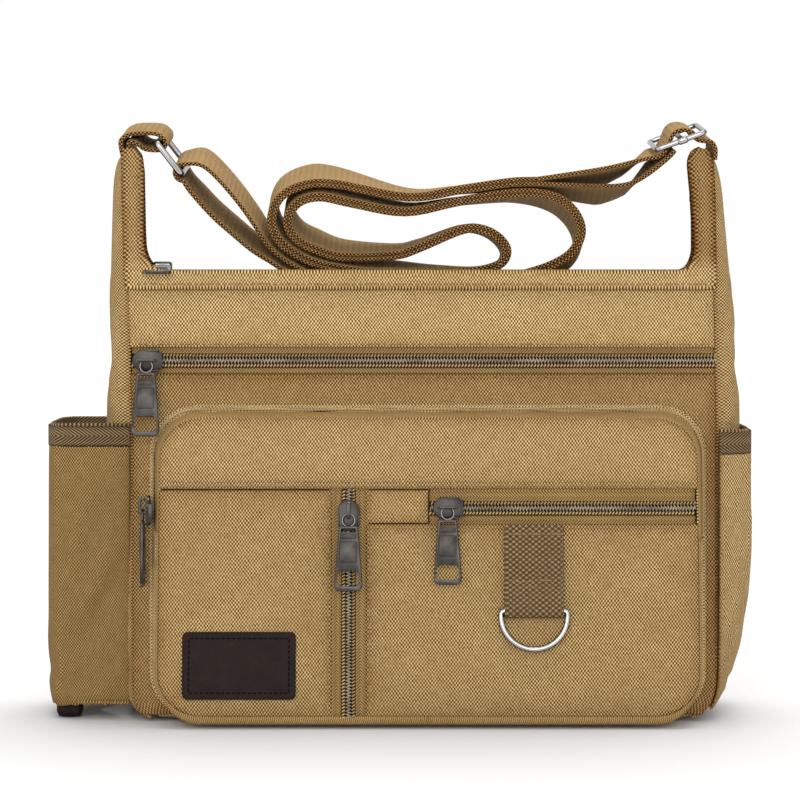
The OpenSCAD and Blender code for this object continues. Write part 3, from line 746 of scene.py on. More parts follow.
def facing(name, place, flip, left_in, right_in):
    """The hem along the opening, turning up into the two ears' flanges in one strip.

    left_in and right_in are where the ears' inner edges stand.
    """
    top = BODY_H + EAR_H + 1.5
    outer = [(-160.4, top), (-160.0, 285), (-158.4, 240), (-157.8, HEM_V)]
    inner = [(left_in - 4, top), (left_in - 0.8, top - 4), (left_in, top - 11), (left_in, 262),
             (left_in + 0.3, 254)]
    bend = np.linspace(0, 1, 12)
    inner += [(left_in + 0.3 + 13.5 * a ** 1.6, 254 - 15.2 * (1 - (1 - a) ** 2.0)) for a in bend[1:]]
    outer_r = [(154.0, HEM_V), (153.8, 240), (153.6, 285), (153.0, 297), (150.6, top)]
    inner_r = [(right_in - 9.5 * (1 - a) ** 1.6, 252 - 13.2 * (1 - a ** 2.0)) for a in bend[:-1]]
    inner_r += [(right_in, 252), (right_in - 0.4, 268), (right_in - 1.5, 283), (right_in - 2.8, 294),
                (right_in - 3.4, 299.5), (right_in - 1.4, 303.8), (right_in + 2, top - 0.3)]

    def resample(points, n):
        p = np.array(points, float)
        run = along(p)
        at = np.linspace(0, run[-1], n)
        return np.stack([np.interp(at, run, p[:, 0]), np.interp(at, run, p[:, 1])], -1)

    mid_out = [(x, HEM_V) for x in np.linspace(-157.8, 154.0, 60)][1:-1]
    mid_in = [(x, BODY_H - 0.2) for x in np.linspace(left_in + 13.8, right_in - 9.5, 60)][1:-1]
    a = np.concatenate([resample(outer, 34), mid_out, resample(outer_r, 34)])
    b = np.concatenate([resample(inner, 34), mid_in, resample(inner_r, 34)])
    k = np.array([0, 0.03, 0.09, 0.2, 0.4, 0.6, 0.8, 0.91, 0.97, 1])
    xy = a[:, None] * (1 - k[:, None]) + b[:, None] * k[:, None]
    width = np.linalg.norm(b - a, axis=1)
    d = np.minimum(k * width[:, None], (1 - k) * width[:, None])
    run = along((a + b) / 2)
    w = 0.7 - ease(d, 1.3) + 0.18 * ripple(run, 0.7, 11)[:, None] * (1 - np.abs(2 * k - 1))
    obj = Soup().grid(place(xy[..., 0], xy[..., 1], w), xy[..., 0], xy[..., 1],
                      flip=flip).build(name, CANVAS)
    # Painted shade: more on the ears, most on the right one, and along the strip's edges.
    ear = np.clip((xy[..., 1] - BODY_H) / 8, 0, 1) * np.where(xy[..., 0] > 0, 0.44, 0.26)
    painted_shade(obj, ear + 0.42 * np.exp(-d / 1.1) + 0.12 * np.exp(-d / 5.0))
    obj["thick"] = 1.8
    return obj


front_hem = facing("hem_front", on_front_and_ear, True, -151.2, 145.2)
back_hem = facing("hem_back", on_back_and_ear, False, -155.0, 149.6)


def half_depth(z):
    """Half the body's depth at a height."""
    return np.interp(z, [0, BODY_H, BODY_H + EAR_H], [BASE_HALF, TOP_HALF, EAR_HALF])


def gusset(name, side, stations):
    """A side of the bag: up the outside, over the ear's top and down its inner face.

    Each station is (x at the middle, x at the seams, z).
    """
    p = np.array(stations, float)
    run = along(p[:, [0, 2]])
    at = np.linspace(0, run[-1], 110)
    mid, seam, z = (np.interp(at, run, p[:, i]) for i in range(3))
    for a in (mid, seam, z):
        smoothed(a, 2)
    t = np.concatenate([[-1, -0.995, -0.985, -0.96], np.linspace(-0.92, 0.92, 30),
                        [0.96, 0.985, 0.995, 1]])
    depth = half_depth(z) - 0.5
    y = depth[:, None] * t
    bulge = 1 - np.abs(t) ** 4.5
    x = seam[:, None] + (mid - seam)[:, None] * bulge
    x = x + side * 0.25 * ripple(at, 0.9 + side, 13)[:, None] * np.exp(-(1 - np.abs(t)) * 6)
    x = x + side * 0.5 * np.sin(at / 31 + side)[:, None] * np.cos(t * PI / 2)
    points = np.stack([x, y, np.broadcast_to(z[:, None], x.shape)], -1)
    obj = Soup().grid(points, at, depth.max() * t, flip=side > 0).build(name, CANVAS)
    # Painted shade over the whole side, and more towards its seams.
    painted_shade(obj, 0.24 + 0.4 * np.exp(-(1 - np.abs(t)) / 0.035) + np.zeros(x.shape))
    held = np.clip((np.abs(t)[None] - 0.9) * 12, 0, 1) + np.zeros(x.shape)
    held[at > run[-1] * 0.62] = 1
    held[:2] = 1
    settle(obj, np.clip(held, 0, 1), 1.4, 0.01, 3.0)
    obj["thick"] = 1.6
    return obj


left_side = gusset("side_left", -1, [
    (-146, -146, 1.5), (-154, -151, 4), (-159.5, -154.8, 8), (-161.5, -155.6, 16),
    (-163, -155.6, 60), (-166, -155.6, 130), (-171.4, -155.6, 152), (-171.2, -156, 168),
    (-170, -156.8, 196), (-168.4, -158.2, 245), (-167.2, -160.0, 288), (-165.4, -160.4, 299),
    (-161.5, -159.5, 304.8), (-158.5, -158, 303), (-157.2, -157.2, 296), (-157, -157, 250),
    (-156.4, -156.4, 226)])
right_side = gusset("side_right", 1, [
    (143, 143, 1.5), (150, 148, 4), (154, 152, 8), (157, 154.6, 14), (160, 155.6, 28),
    (161.5, 155.6, 45),
    (163, 155.6, 80), (166.5, 155.6, 130), (169.6, 155.6, 154), (169.2, 155.2, 176),
    (166.6, 154.6, 216), (163.8, 153.9, 245), (160.8, 153.5, 285), (157.6, 152.6, 299),
    (153, 150.8, 304.8), (150.2, 150.2, 302), (149.4, 149.4, 294), (149.8, 149.8, 250),
    (150.2, 150.2, 226)])


def base():
    """The bottom panel, its edges curling up to the seams."""
    reach = HALF_W - 13
    x, y = np.meshgrid(spaced(-reach, reach, 8), spaced(-BASE_HALF + .5, BASE_HALF - .5, 6),
                       indexing="ij")
    d = np.minimum(reach - np.abs(x), BASE_HALF - 0.5 - np.abs(y))
    z = 3.4 * np.clip(1 - d / 9, 0, 1) ** 2 + 0.02
    obj = Soup().grid(np.stack([x, y, z], -1), x, y, flip=True).build("base", CANVAS)
    obj["thick"] = 1.5
    return obj


bottom = base()


def lining(name, y_low, side, heights, wave):
    """A loose sheet inside the front (side 1) or the back (side -1), and as tilted."""
    x, z = np.meshgrid(np.linspace(-149, 149, 60), np.linspace(*heights, 40), indexing="ij")
    y = y_low + side * z * (BASE_HALF - TOP_HALF) / BODY_H + wave * np.sin(x / 23 + z / 40)
    return Soup().grid(np.stack([x, y, z], -1), x, z).build(name, LINING)


lining_front = lining("lining_front", -31.4, 1, (5, 224), 0.5)
lining_back = lining("lining_back", 35.4, -1, (5, 224), 0.4)
lining_pocket = lining("lining_upper_pocket", -33.2, 1, (64, 223), 0.3)


# ---- box pocket ----


def box_edge(k, p, grow=0.0):
    """A point on the pocket's wall: k from root to face, p round it from 0 to 9.

    p runs from the bottom's middle up the left side, over the top and down the right:
    each side and each corner takes one unit of it, and the bottom takes two.
    """
    k, p, grow = np.broadcast_arrays(*(np.asarray(a, float) for a in (k, p, grow)))
    e = [SHOULDER[i] + (FACE[i] - SHOULDER[i]) * k for i in range(4)]
    tilt = FACE_LEAN * k
    h = (e[3] - e[2]) / np.cos(tilt)
    x0, x1, y0, y1 = e[0], e[1], np.zeros_like(h), h
    r = BOX_R
    mid = (x0 + x1) / 2
    seg = np.minimum(p.astype(int), 8)
    t = p - seg
    a = t * PI / 2
    cx = [(x0 + r, y0 + r), (x0 + r, y1 - r), (x1 - r, y1 - r), (x1 - r, y0 + r)]
    rg = r + grow
    xs = [mid + (x0 + r - mid) * t, cx[0][0] - rg * np.sin(a), x0 - grow, cx[1][0] - rg * np.cos(a),
          x0 + r + (x1 - x0 - 2 * r) * t, cx[2][0] + rg * np.sin(a), x1 + grow,
          cx[3][0] + rg * np.cos(a), x1 - r + (mid - x1 + r) * t]
    ys = [y0 - grow, cx[0][1] - rg * np.cos(a), y0 + r + (y1 - y0 - 2 * r) * t,
          cx[1][1] + rg * np.sin(a), y1 + grow, cx[2][1] + rg * np.cos(a),
          y1 - r + (y0 - y1 + 2 * r) * t, cx[3][1] - rg * np.sin(a), y0 - grow]
    x = np.choose(seg, np.broadcast_arrays(*xs))
    q = np.choose(seg, np.broadcast_arrays(*ys))
    out = SHOULDER_OUT + (BOX_OUT - SHOULDER_OUT) * k
    return on_front(x, e[2] + q * np.cos(tilt), out - q * np.sin(tilt))


def round_the_box(low=0.0, high=9.0, step=3.0):
    """Values of p about step mm apart, and the length from the first to the last."""
    p = np.linspace(low, high, 4000)
    run = along(box_edge(0.5, p))
    n = max(2, int(round(run[-1] / step)))
    return np.interp(np.linspace(0, run[-1], n + 1), run, p), run[-1]


# Where round the pocket its zip begins and ends, and how far out the zip's band begins
ZIP_FROM, ZIP_TO = 2.66, 6.38
ROOT_SIDE = 0.34


def gusset_round_the_box():
    """The pocket's wall, puffed a little and let in where the zip lies."""
    p_all, length = round_the_box()
    k_wall = np.array([-0.12, 0, 0.1, 0.25, 0.4, 0.55, 0.7, 0.8, 0.88, 0.93])
    p, k = np.meshgrid(p_all, k_wall, indexing="ij")
    full = np.sin(np.clip(k, 0, 1) * PI)
    puff = 0.5 * full - 0.4 + 0.3 * ripple(p * 100, 0.3, 16) * full
    puff = np.where((p > ZIP_FROM) & (p < ZIP_TO) & (k > 0.02), puff - 1.0, puff)
    obj = Soup().grid(box_edge(k, p, puff), np.linspace(0, length, len(p_all))).build("box_wall", CANVAS)
    obj["thick"] = 1.2
    return obj


box_wall = gusset_round_the_box()


def band(name, low, high, k_low, k_high, out, material):
    """A tape sewn round the pocket's wall, between two shares of its depth, sagging below."""
    p, run = round_the_box(low, high, 3.0)
    k = k_low + (k_high - k_low) * np.array([0, 0.04, 0.14, 0.35, 0.6, 0.82, 0.95, 1.0])
    pp, kk = np.meshgrid(p, k, indexing="ij")
    share = (kk - k_low) / (k_high - k_low)
    full = np.sin(np.clip(share, 0, 1) * PI) ** 0.5
    points = box_edge(kk, pp, out * full - 0.45)
    sag = np.clip((16 - points[..., 2]) / 10, 0, 1) * full
    points = points - np.stack([0 * sag, 1.0 * sag, 2.9 * sag], -1)
    points[..., 2] = np.maximum(points[..., 2], 0.7)
    round_it = np.linspace(0, run, len(p))[:, None] + 0 * kk
    return Soup().grid(points, kk * 12, round_it).build(name, material)


box_band = band("box_zip_band", ZIP_FROM, ZIP_TO, ROOT_SIDE + 0.04, 1.0, 0.9, BAND)
# The dark bed under the box zip's chain: painted shade.
box_shade_bed = band("box_zip_shade_bed", ZIP_FROM, ZIP_TO, 0.02, ROOT_SIDE + 0.1, 0.1, CHAIN_SHADE_BED)
band_low_left = band("box_band_left", 0.0, ZIP_FROM, 0.74, 1.0, 1.0, BAND)
band_low_right = band("box_band_right", ZIP_TO, 9.0, 0.74, 1.0, 1.0, BAND)


def piping():
    """The narrow bound edge at the pocket's root, lying close to the body."""
    soup = Soup()
    p, run = round_the_box(0, 9, 2.2)
    a = np.linspace(0, 2 * PI, 9)
    out = on_front(0, 0, 1) - on_front(0, 0, 0)
    rings = []
    for angle in a:
        w = 0.95 + 0.75 * np.sin(angle) + 0.08 * ripple(p * 90, 2.0, 7)
        rings.append(box_edge(np.zeros_like(p), p, 1.2 + 1.3 * np.cos(angle))
                     + (w - SHOULDER_OUT)[:, None] * out)
    soup.grid(np.stack(rings, 1), np.linspace(0, run, len(p)), a * 1.2)
    return soup.build("box_piping_cord", CANVAS)


box_cord = piping()

face_outline = ((FACE[0], FACE[1], 0.0, FACE_H), BOX_R)
# The shade numbers of the box pocket's panels are painted shade over each of them.
yoke = panel("box_yoke_panel", on_face, (FACE[0], FACE[1], YOKE_Q, FACE_H), CANVAS, crown=0.9, r=1.3,
             outline=face_outline, seed=0.8, pressure=1.0, slack=0.006, cap=1.5, shade=0.17)
face_left = panel("box_left_panel", on_face, (FACE[0], VZIP_X - VZIP_GAP / 2, 0.0, YOKE_Q - 0.3),
                  CANVAS, crown=1.0, r=1.3, outline=face_outline, seed=1.9, pressure=1.0,
                  slack=0.006, cap=2.0, shade=0.28)
filler = panel("box_filler_panel", on_face, (PATCH_LEFT, HZIP_LEFT, PATCH_Q + 0.3, YOKE_Q - 0.3),
               CANVAS, out=-0.3, crown=0.2, r=0.8, seed=0.2, step=4, shade=0.18)
patch = panel("patch_pocket_panel", on_face, (PATCH_LEFT, FACE[1], 0.0, PATCH_Q), CANVAS,
              out=0.25, crown=1.2, r=1.3, outline=face_outline, seed=2.9, pressure=1.0,
              slack=0.008, cap=2.4, shade=0.29)
backing = panel("box_backing_cloth", on_face, (FACE[0] + 3, FACE[1] - 3, 3.0, FACE_H - 3), LINING,
                out=-2.0, r=0.8, outline=((FACE[0] + 3, FACE[1] - 3, 3.0, FACE_H - 3), BOX_R - 3),
                step=8)


LABEL_LOW, LABEL_HIGH, LABEL_INSET = 9.2, 44.6, 3.5


def leather_label():
    """The plain leather patch, with a groove along its stitching."""
    x0, x1 = extent("leather_patch", 0)
    edges, r = (x0, x1, LABEL_LOW, LABEL_HIGH), 2.8
    x, q = np.meshgrid(spaced(x0, x1, 2.2), spaced(LABEL_LOW, LABEL_HIGH, 2.2), indexing="ij")
    x = round_corners(x, q, edges, edges, r)
    d = inside(x, q, edges, r)
    groove = 0.28 * np.exp(-((d - LABEL_INSET) / 0.8) ** 2)
    f = 3.5 + 0.2 * np.clip(d / 5, 0, 1) - ease(d, 0.9) - groove + 0.1 * np.sin(x / 9 + q / 7)
    obj = Soup().grid(on_face(x, q, f), x, q).build("leather_label", LEATHER)
    obj["thick"] = 1.6
    return obj


label = leather_label()


# ---- pockets on the two sides ----


def side_pocket(name, plan, z, out_at, material, thickness, seed, flip=False, pressure=1.2,
                rim=False):
    """A pocket's wall from a plan path of (x, y), swept up; out_at scales its bulge with z.

    flip is for the right side of the bag, and rim for the binding round a pocket's mouth.
    """
    p = np.array(plan, float)
    run = along(p)
    at = np.linspace(0, run[-1], 90)
    x, y = np.interp(at, run, p[:, 0]), np.interp(at, run, p[:, 1])
    smoothed(x, 3)
    smoothed(y, 3)
    zs = spaced(*z, 4.5 if not rim else 2.2, 1.0)
    k = out_at(zs)
    root = x[0]
    xx = root + (x[:, None] - root) * k
    if flip:
        xx = xx + np.interp(zs, SEAM_Z, RIGHT_SEAM) - max(RIGHT_SEAM)
    reach = 40.5 if flip else 32.8
    yy = np.clip(y[:, None] * (0.96 + 0.04 * k), -reach, reach)
    tx, ty = np.gradient(x), np.gradient(y)
    normal = np.stack([ty, -tx], -1) / (np.hypot(tx, ty)[:, None] + 1e-9)
    sign = -1 if flip else 1
    wave = 0.5 * np.sin(at[:, None] / 17 + seed) * np.sin(zs / 29 + seed)
    swell = sign * (wave - 1.4 + (0.35 * ripple(at, seed, 10)[:, None] * np.exp(-(zs - z[0]) / 8)))
    if rim:
        d = np.minimum(zs - z[0], z[1] - zs)
        swell = sign * (-0.5 - ease(d, 1.1) + 0.12 * ripple(at, seed, 9)[:, None])
    xx = xx + normal[:, 0, None] * swell
    yy = yy + normal[:, 1, None] * swell
    points = np.stack([xx, yy, np.broadcast_to(zs, xx.shape)], -1)
    across, up = np.meshgrid(at, zs, indexing="ij")
    obj = Soup().grid(points, *((up - z[0], across) if rim else (across, up)),
                      flip=flip).build(name, material)
    obj["thick"] = thickness
    if not rim:
        # Painted shade: more on the right pocket, and towards its ends and its bottom.
        near = np.minimum(np.minimum(at, run[-1] - at)[:, None], (zs - z[0])[None])
        painted_shade(obj, (0.18 if flip else 0.04) + 0.35 * np.exp(-near / 2.0))
    if pressure:
        held = np.maximum(np.clip(1 - np.minimum(at, run[-1] - at) / 4, 0, 1)[:, None],
                          np.clip(1 - np.minimum(zs - z[0], z[1] - zs) / 3, 0, 1)[None])
        settle(obj, held, pressure, 0.012, 2.5)
    return obj


BOTTLE_ROOT, BOTTLE_SQUASH, RIM_Z = -156.6, 0.89, 158.0
bottle_plan = [(BOTTLE_ROOT, -40.6), (-160, -40.2), (-168, -38.8)] + \
    circle(-186, -20, 18, -90, -180) + circle(-186, 20, 18, 180, 90) + \
    [(-168, 38.8), (-160, 40.2), (BOTTLE_ROOT, 40.6)]


def bottle_k(z):
    """How far the bottle pocket stands out, as a share of its plan."""
    return BOTTLE_SQUASH * np.interp(z, [0, 8, 16, 40, 120, 160], [0.93, 0.96, 0.985, 1, 1, 0.995])


# The bottle pocket's cloth is the darker copy of the canvas: painted shade.
bottle_wall = side_pocket("bottle_pocket_cloth", bottle_plan, (8, RIM_Z - 12), bottle_k,
                          SHADED_POCKET_CANVAS, 1.6, 0.5)
bottle_rim = side_pocket("bottle_pocket_rim", bottle_plan, (RIM_Z - 13, RIM_Z + 0.6), bottle_k,
                         BINDING, 2.8, 1.2, pressure=0, rim=True)
slip_plan = [(155.8, -40.4), (160, -39.5), (166, -37.4), (172, -33.5), (175.4, -26), (176.2, -14),
             (176.4, 0), (176.2, 14), (175.4, 26), (172, 33.5), (166, 37.4), (160, 39.5),
             (155.8, 40.4)]


def slip_k(z):
    """How far the slip pocket stands out, as a share of its plan."""
    return np.interp(z, [0, 8, 14, 25, 42, 66, 90, 120, 160],
                     [0.0, 0.03, 0.1, 0.27, 0.55, 0.72, 0.80, 0.82, 0.82])


slip_wall = side_pocket("slip_pocket_cloth", slip_plan, (7, 143.5), slip_k, CANVAS, 1.6, 2.1,
                        flip=True, pressure=1.0)
slip_rim = side_pocket("slip_pocket_rim", slip_plan, (141, 155.6), slip_k, BINDING, 2.8, 0.6,
                       flip=True, pressure=0, rim=True)


def bottle_base():
    """The bottle pocket's bottom, a little dished."""
    pts = np.array(bottle_plan)
    centre = np.array([-180.0, 0.0])
    rings = []
    for k, z in ((0.955, 9.5), (0.93, 8.4), (0.86, 8.0), (0.5, 7.9), (0.02, 7.9)):
        ring = centre + (pts - centre) * k
        ring[:, 0] = BOTTLE_ROOT + (ring[:, 0] - BOTTLE_ROOT) * BOTTLE_SQUASH
        rings.append(np.column_stack([ring, np.full(len(pts), z)]))
    points = np.stack(rings, 1)
    obj = Soup().grid(points, points[..., 0], points[..., 1]).build("bottle_pocket_floor", SHADED_POCKET_CANVAS)
    obj["thick"] = 1.4
    return obj


bottle_floor = bottle_base()


def bottle_nub():
    """The dark foot under the bottle pocket: a rounded box, worn a little."""
    c, h = np.array([-190.5, -24.0, 4.6]), np.array([7.0, 6.0, 4.2])
    a = np.linspace(0, 2 * PI, 25)
    square = [np.sign(wave) * np.abs(wave) ** 0.55 for wave in (np.cos(a), np.sin(a))]
    rings = []
    for k, z in ((0.4, -1.0), (0.85, -0.9), (1.0, -0.3), (1.0, 0.4), (0.8, 1.0)):
        rings.append(np.column_stack([c[0] + h[0] * k * square[0], c[1] + h[1] * k * square[1],
                                      c[2] + h[2] * z + 0.15 * np.sin(5 * a)]))
    points = np.stack(rings, 1)
    return Soup().grid(points, points[..., 0], points[..., 1]).build("bottle_pocket_nub", LEATHER)


nub = bottle_nub()


def lower_binding():
    """The binding along the front's bottom edge."""
    x, v = np.meshgrid(spaced(-128, 128, 5), np.array([0, .25, .8, 1.6, 2.4, 2.9, 3.1]),
                       indexing="ij")
    w = 2.3 - ease(np.minimum(v, 3.1 - v), 1.0) + 0.15 * ripple(x, 1.1, 8)
    obj = Soup().grid(on_front(x, v, w), v, x).build("bottom_edge_binding", BINDING)
    obj["thick"] = 1.2
    return obj


low_edge = lower_binding()

run_cloth()

for obj in (front_low, front_band, back_low, front_hem, back_hem, left_side, right_side, bottom,
            box_wall, yoke, face_left, filler, patch, label, bottle_wall, bottle_rim, slip_wall,
            slip_rim, bottle_floor, low_edge):
    thicken(obj, obj["thick"], smooth=1 if obj in (left_side, right_side, bottle_wall) else 0)
for obj in (lining_front, lining_back, lining_pocket, backing, box_band, box_shade_bed, band_low_left,
            band_low_right, nub):
    thicken(obj, 0.5)

for obj, slot, node in (
        (front_low, "canvas", "front_panel"), (front_band, "canvas", "front_top_band"),
        (back_low, "canvas", "back_panel"), (front_hem, "canvas", "front_facing"),
        (back_hem, "canvas", "back_facing"), (left_side, "canvas", "left_gusset"),
        (right_side, "canvas", "right_gusset"), (bottom, "canvas", "base_panel"),
        (lining_front, "lining", "front_lining"), (lining_back, "lining", "back_lining"),
        (lining_pocket, "lining", "upper_pocket_lining"), (box_wall, "canvas", "box_gusset"),
        (box_band, "zip_tape", "box_zip_tape"), (box_shade_bed, "zip_tape", ()),
        (band_low_left, "zip_tape", ()), (band_low_right, "zip_tape", ()),
        (box_cord, "binding", "box_piping"), (yoke, "canvas", "box_yoke"),
        (face_left, "canvas", "box_face_left"), (filler, "canvas", "box_filler"),
        (patch, "canvas", "patch_pocket"), (backing, "lining", "box_backing"),
        (label, "leather", "leather_patch"), (bottle_wall, "canvas", "bottle_pocket_wall"),
        (bottle_rim, "binding", "bottle_pocket_binding"),
        (bottle_floor, "canvas", "bottle_pocket_base"), (nub, "leather", "bottle_pocket_trim"),
        (slip_wall, "canvas", "side_pocket_wall"), (slip_rim, "binding", "side_pocket_binding"),
        (low_edge, "binding", "bottom_binding")):
    piece(obj, replaces=node)


# ---- zips ----

# One tooth of a coil, and the stitch over it, as (along, across, out) points
TOOTH = np.array([(-0.2, 1.5, 0.6), (-0.05, 1.2, 1.5), (0.1, 0.6, 2.0), (0.2, 0, 1.95),
                  (0.25, -0.5, 1.4)])
TOOTH_STITCH = np.array([(-0.45, 2.0, 1.2), (-0.15, 2.4, 1.8), (0.15, 2.85, 1.8), (0.45, 3.3, 1.1)])
PITCH = 1.75


def chain(name, place, length, node, stagger=0.25):
    """A coil zip's two rows of teeth with the thread that holds them to their tapes."""
    teeth, threads = Soup(), Soup()
    n = int(length / PITCH)
    for i in range(n):
        for side in (-1, 1):
            s = (i + 0.5 + stagger * side) * length / n
            for soup, shape, radius in ((teeth, TOOTH, 0.33), (threads, TOOTH_STITCH, 0.48)):
                soup.tube(place(s + shape[:, 0] * (1 if soup is teeth else side),
                                side * shape[:, 1], shape[:, 2]), radius, 6)
    piece(teeth.build(name + "_coil", COIL), replaces=node)
    piece(threads.build(name + "_coil_thread", ZIP_THREAD))


def tape(name, place, length, half, node, seed):
    """A zip's two tapes as one sheet, with painted shade in the middle where the chain lies."""
    s = np.linspace(0, length, max(2, int(length / 4)))
    t = np.concatenate([np.linspace(-half, -4.4, 5), np.linspace(-3.9, 3.9, 6),
                        np.linspace(4.4, half, 5)])
    ss, tt = np.meshgrid(s, t, indexing="ij")
    h = 0.12 * ripple(ss, seed, 12) * np.clip((np.abs(tt) - 4) / 4, 0, 1) \
        + 0.25 * np.exp(-((np.abs(tt) - 4.3) / 0.5) ** 2)
    soup = Soup().grid(place(ss, tt, h), tt, ss)
    middle = [abs(t[j] + t[j + 1]) / 2 < 3.9 for j in range(len(t) - 1)]
    soup.mats = [int(m) for m in middle] * (len(s) - 1)
    obj = soup.build(name, [TAPE, CHAIN_SHADE_BED])
    piece(thicken(obj, 0.4), replaces=node)


def top_z(x):
    """Height of the top zip's tape: level at the left and dipping under the strap."""
    return np.interp(x, [-153, -90, -66, 100, 138, 142], [235.6, 235.6, 228, 228, 231.6, 231.6])


def at_upper(s, t, h):
    return on_front(-155.6 + np.asarray(s, float), ZIP_V + t, h - CANVAS_T - 0.2)


def at_horizontal(s, t, h):
    return on_face(HZIP_LEFT + 0.6 + np.asarray(s, float), HZIP_Q + t, h - TAPE_DROP)


def at_vertical(s, t, h):
    return on_face(VZIP_X + np.asarray(t, float), np.asarray(s, float) - 0.6, h - TAPE_DROP)


def at_top(s, t, h):
    x = np.asarray(s, float) - 152
    up = np.clip((np.abs(t) - 18) / 10, 0, 1) ** 2 * np.clip(233 - top_z(x), 0, 9)
    return np.stack(np.broadcast_arrays(x, t, top_z(x) + h + up), -1).astype(float)


zip_p = np.linspace(ZIP_FROM, ZIP_TO, 3000)
zip_len = along(box_edge(0.5, zip_p, 1.0))


def at_box(s, t, h):
    p = np.interp(s, zip_len, zip_p)
    deep = np.linalg.norm(box_edge(1.0, p) - box_edge(0.0, p), axis=-1)
    share = np.clip(deep / 11, 0.5, 1.0) / deep
    return box_edge(0.17 + np.asarray(t, float) * share * 0.5, p,
                    np.asarray(h, float) * 0.8 - 0.2)


tape("top_zip_band", at_top, 293, 27.8, "top_zip_tape", 0.3)
tape("upper_zip_band", at_upper, 310.8, 9.5, "upper_zip_tape", 1.3)
tape("horizontal_zip_band", at_horizontal, 140, 10.5, "horizontal_zip_tape", 2.3)
tape("vertical_zip_band", at_vertical, 120.5, 10.5, "vertical_zip_tape", 0.8)
chain("top_zip", at_top, 292, "top_zip_coil")
chain("upper_zip", at_upper, 310.5, "upper_zip_coil")
chain("horizontal_zip", at_horizontal, 140, "horizontal_zip_coil")
chain("vertical_zip", at_vertical, 120, "vertical_zip_coil")
chain("box_zip", at_box, zip_len[-1] - 1, "box_zip_coil", 0.0)


# ---- sliders and pullers ----


def round_box(x0, x1, y0, y1, r, n=5):
    """A rectangle with round corners, anticlockwise."""
    return (circle(x1 - r, y0 + r, r, -90, 0, n) + circle(x1 - r, y1 - r, r, 0, 90, n)
            + circle(x0 + r, y1 - r, r, 90, 180, n) + circle(x0 + r, y0 + r, r, 180, 270, n))


def slider_soup(inline):
    """A slider, chain along x, its crown towards -x, on a tape whose surface is z = 0.

    inline is true where the puller hangs in line with the chain, from inside the bridge.
    """
    soup = Soup()
    low = CHAIN_T + 0.5
    crown = circle(-2, 0, 5.7, 62, 298, 26) + [(4, -4.9), (7, -4.4), (8.4, -4.2), (8.4, 4.2),
                                               (7, 4.4), (4, 4.9)]
    soup.prism(crown, low, low + PLATE_T, 0.55)
    for y0, y1 in ((-5.75, -4.6), (4.6, 5.75)):
        soup.prism(round_box(-3.5, 6.2, y0, y1, 0.5, 3), 1.2 if inline else 0.35, low + 0.5, 0.25)
    a, b = (-6.5, 2.3) if inline else (-5.3, 5.3)
    leg, half, under, over = (1.5, 1.15, 0.8, 0.85) if inline else (1.2, 0.8, 0.65, 0.6)
    foot, top = low + 1.4, SLIDER_H + over
    arch = [(a, foot), (a + leg, foot), (a + leg, SLIDER_H - 2 * under),
            (a + leg + 0.5, SLIDER_H - under), (b - leg - 0.5, SLIDER_H - under),
            (b - leg, SLIDER_H - 2 * under), (b - leg, foot), (b, foot)]
    arch += circle(b - 1.5, top - 1.5, 1.5, 0, 90, 5) + circle(a + 1.5, top - 1.5, 1.5, 90, 180, 5)
    bridge = Soup().prism(arch, -half, half, 0.3)
    v = bridge.verts[0]
    return soup.add(np.column_stack([v[:, 0], -v[:, 2], v[:, 1]]), bridge.faces)


def puller_parts():
    """A puller hanging along -y from its ring: a tapered plate with a window."""
    top, n = -6.3, PULLER_LEN
    outline = [(-4.6, top), (-5.1, top - 1.0), (-7.5, 3.2 - n), (-7.1, 1.9 - n), (-5.8, 0.4 - n),
               (-5.0, -n), (5.0, -n), (5.8, 0.4 - n), (7.1, 1.9 - n), (7.5, 3.2 - n),
               (5.1, top - 1.0), (4.6, top)]
    plate = Soup().prism(outline, -PLATE_T / 2, PLATE_T / 2, 0.42).build("plate", GUNMETAL, False)
    for cut in (round_box(-6.0, 6.0, 2.6 - n, 10.6 - n, 2.6),
                round_box(-3.9, 3.9, top - 3.3, top - 1.4, 0.9)):
        hole = Soup().prism(cut, -3, 3, 0.0).build("hole", GUNMETAL, False)
        m = plate.modifiers.new("cut", "BOOLEAN")
        m.object, m.operation, m.solver = hole, "DIFFERENCE", "EXACT"
        bake(plate)
        bpy.data.objects.remove(hole)
    m = plate.modifiers.new("edge", "BEVEL")
    m.width, m.segments, m.limit_method, m.angle_limit = 0.18 * MM, 2, "ANGLE", math.radians(50)
    bake(plate)
    soup = Soup()
    mesh = plate.data
    soup.add([list(v.co / MM) for v in mesh.vertices], [list(p.vertices) for p in mesh.polygons])
    for side in (-1, 1):
        low, high = (0.7, 1.3) if side > 0 else (-1.3, -0.7)
        soup.prism(round_box(-4.6, 4.6, top - 19.5, top - 8.2, 0.8, 3), low, high, 0.3, 1)
        soup.prism(round_box(-4.2, 4.2, top - 6.9, top - 4.3, 0.5, 3), low * 0.9, high * 0.78, 0.12, 2)
    bpy.data.objects.remove(plate)
    return soup


PULLER = puller_parts()
RING_R, RING_WIRE, RING_SIDES = 3.3, 0.5, 10


def puller_soup(inline):
    """A puller with its ring, turning about the x axis."""
    drop, behind = (RING_R, 0.0) if inline else (2.95, -1.5)
    a = np.linspace(0, 2 * PI, 33)[:-1]
    ring = np.column_stack([RING_R * np.sin(a), -drop + RING_R * np.cos(a), 0 * a + behind])
    soup = Soup().tube(ring, RING_WIRE, RING_SIDES, 3, closed=True)
    soup.add(np.concatenate(PULLER.verts) + [0, 0, behind], PULLER.faces)
    soup.mats[-len(PULLER.mats):] = PULLER.mats
    return soup


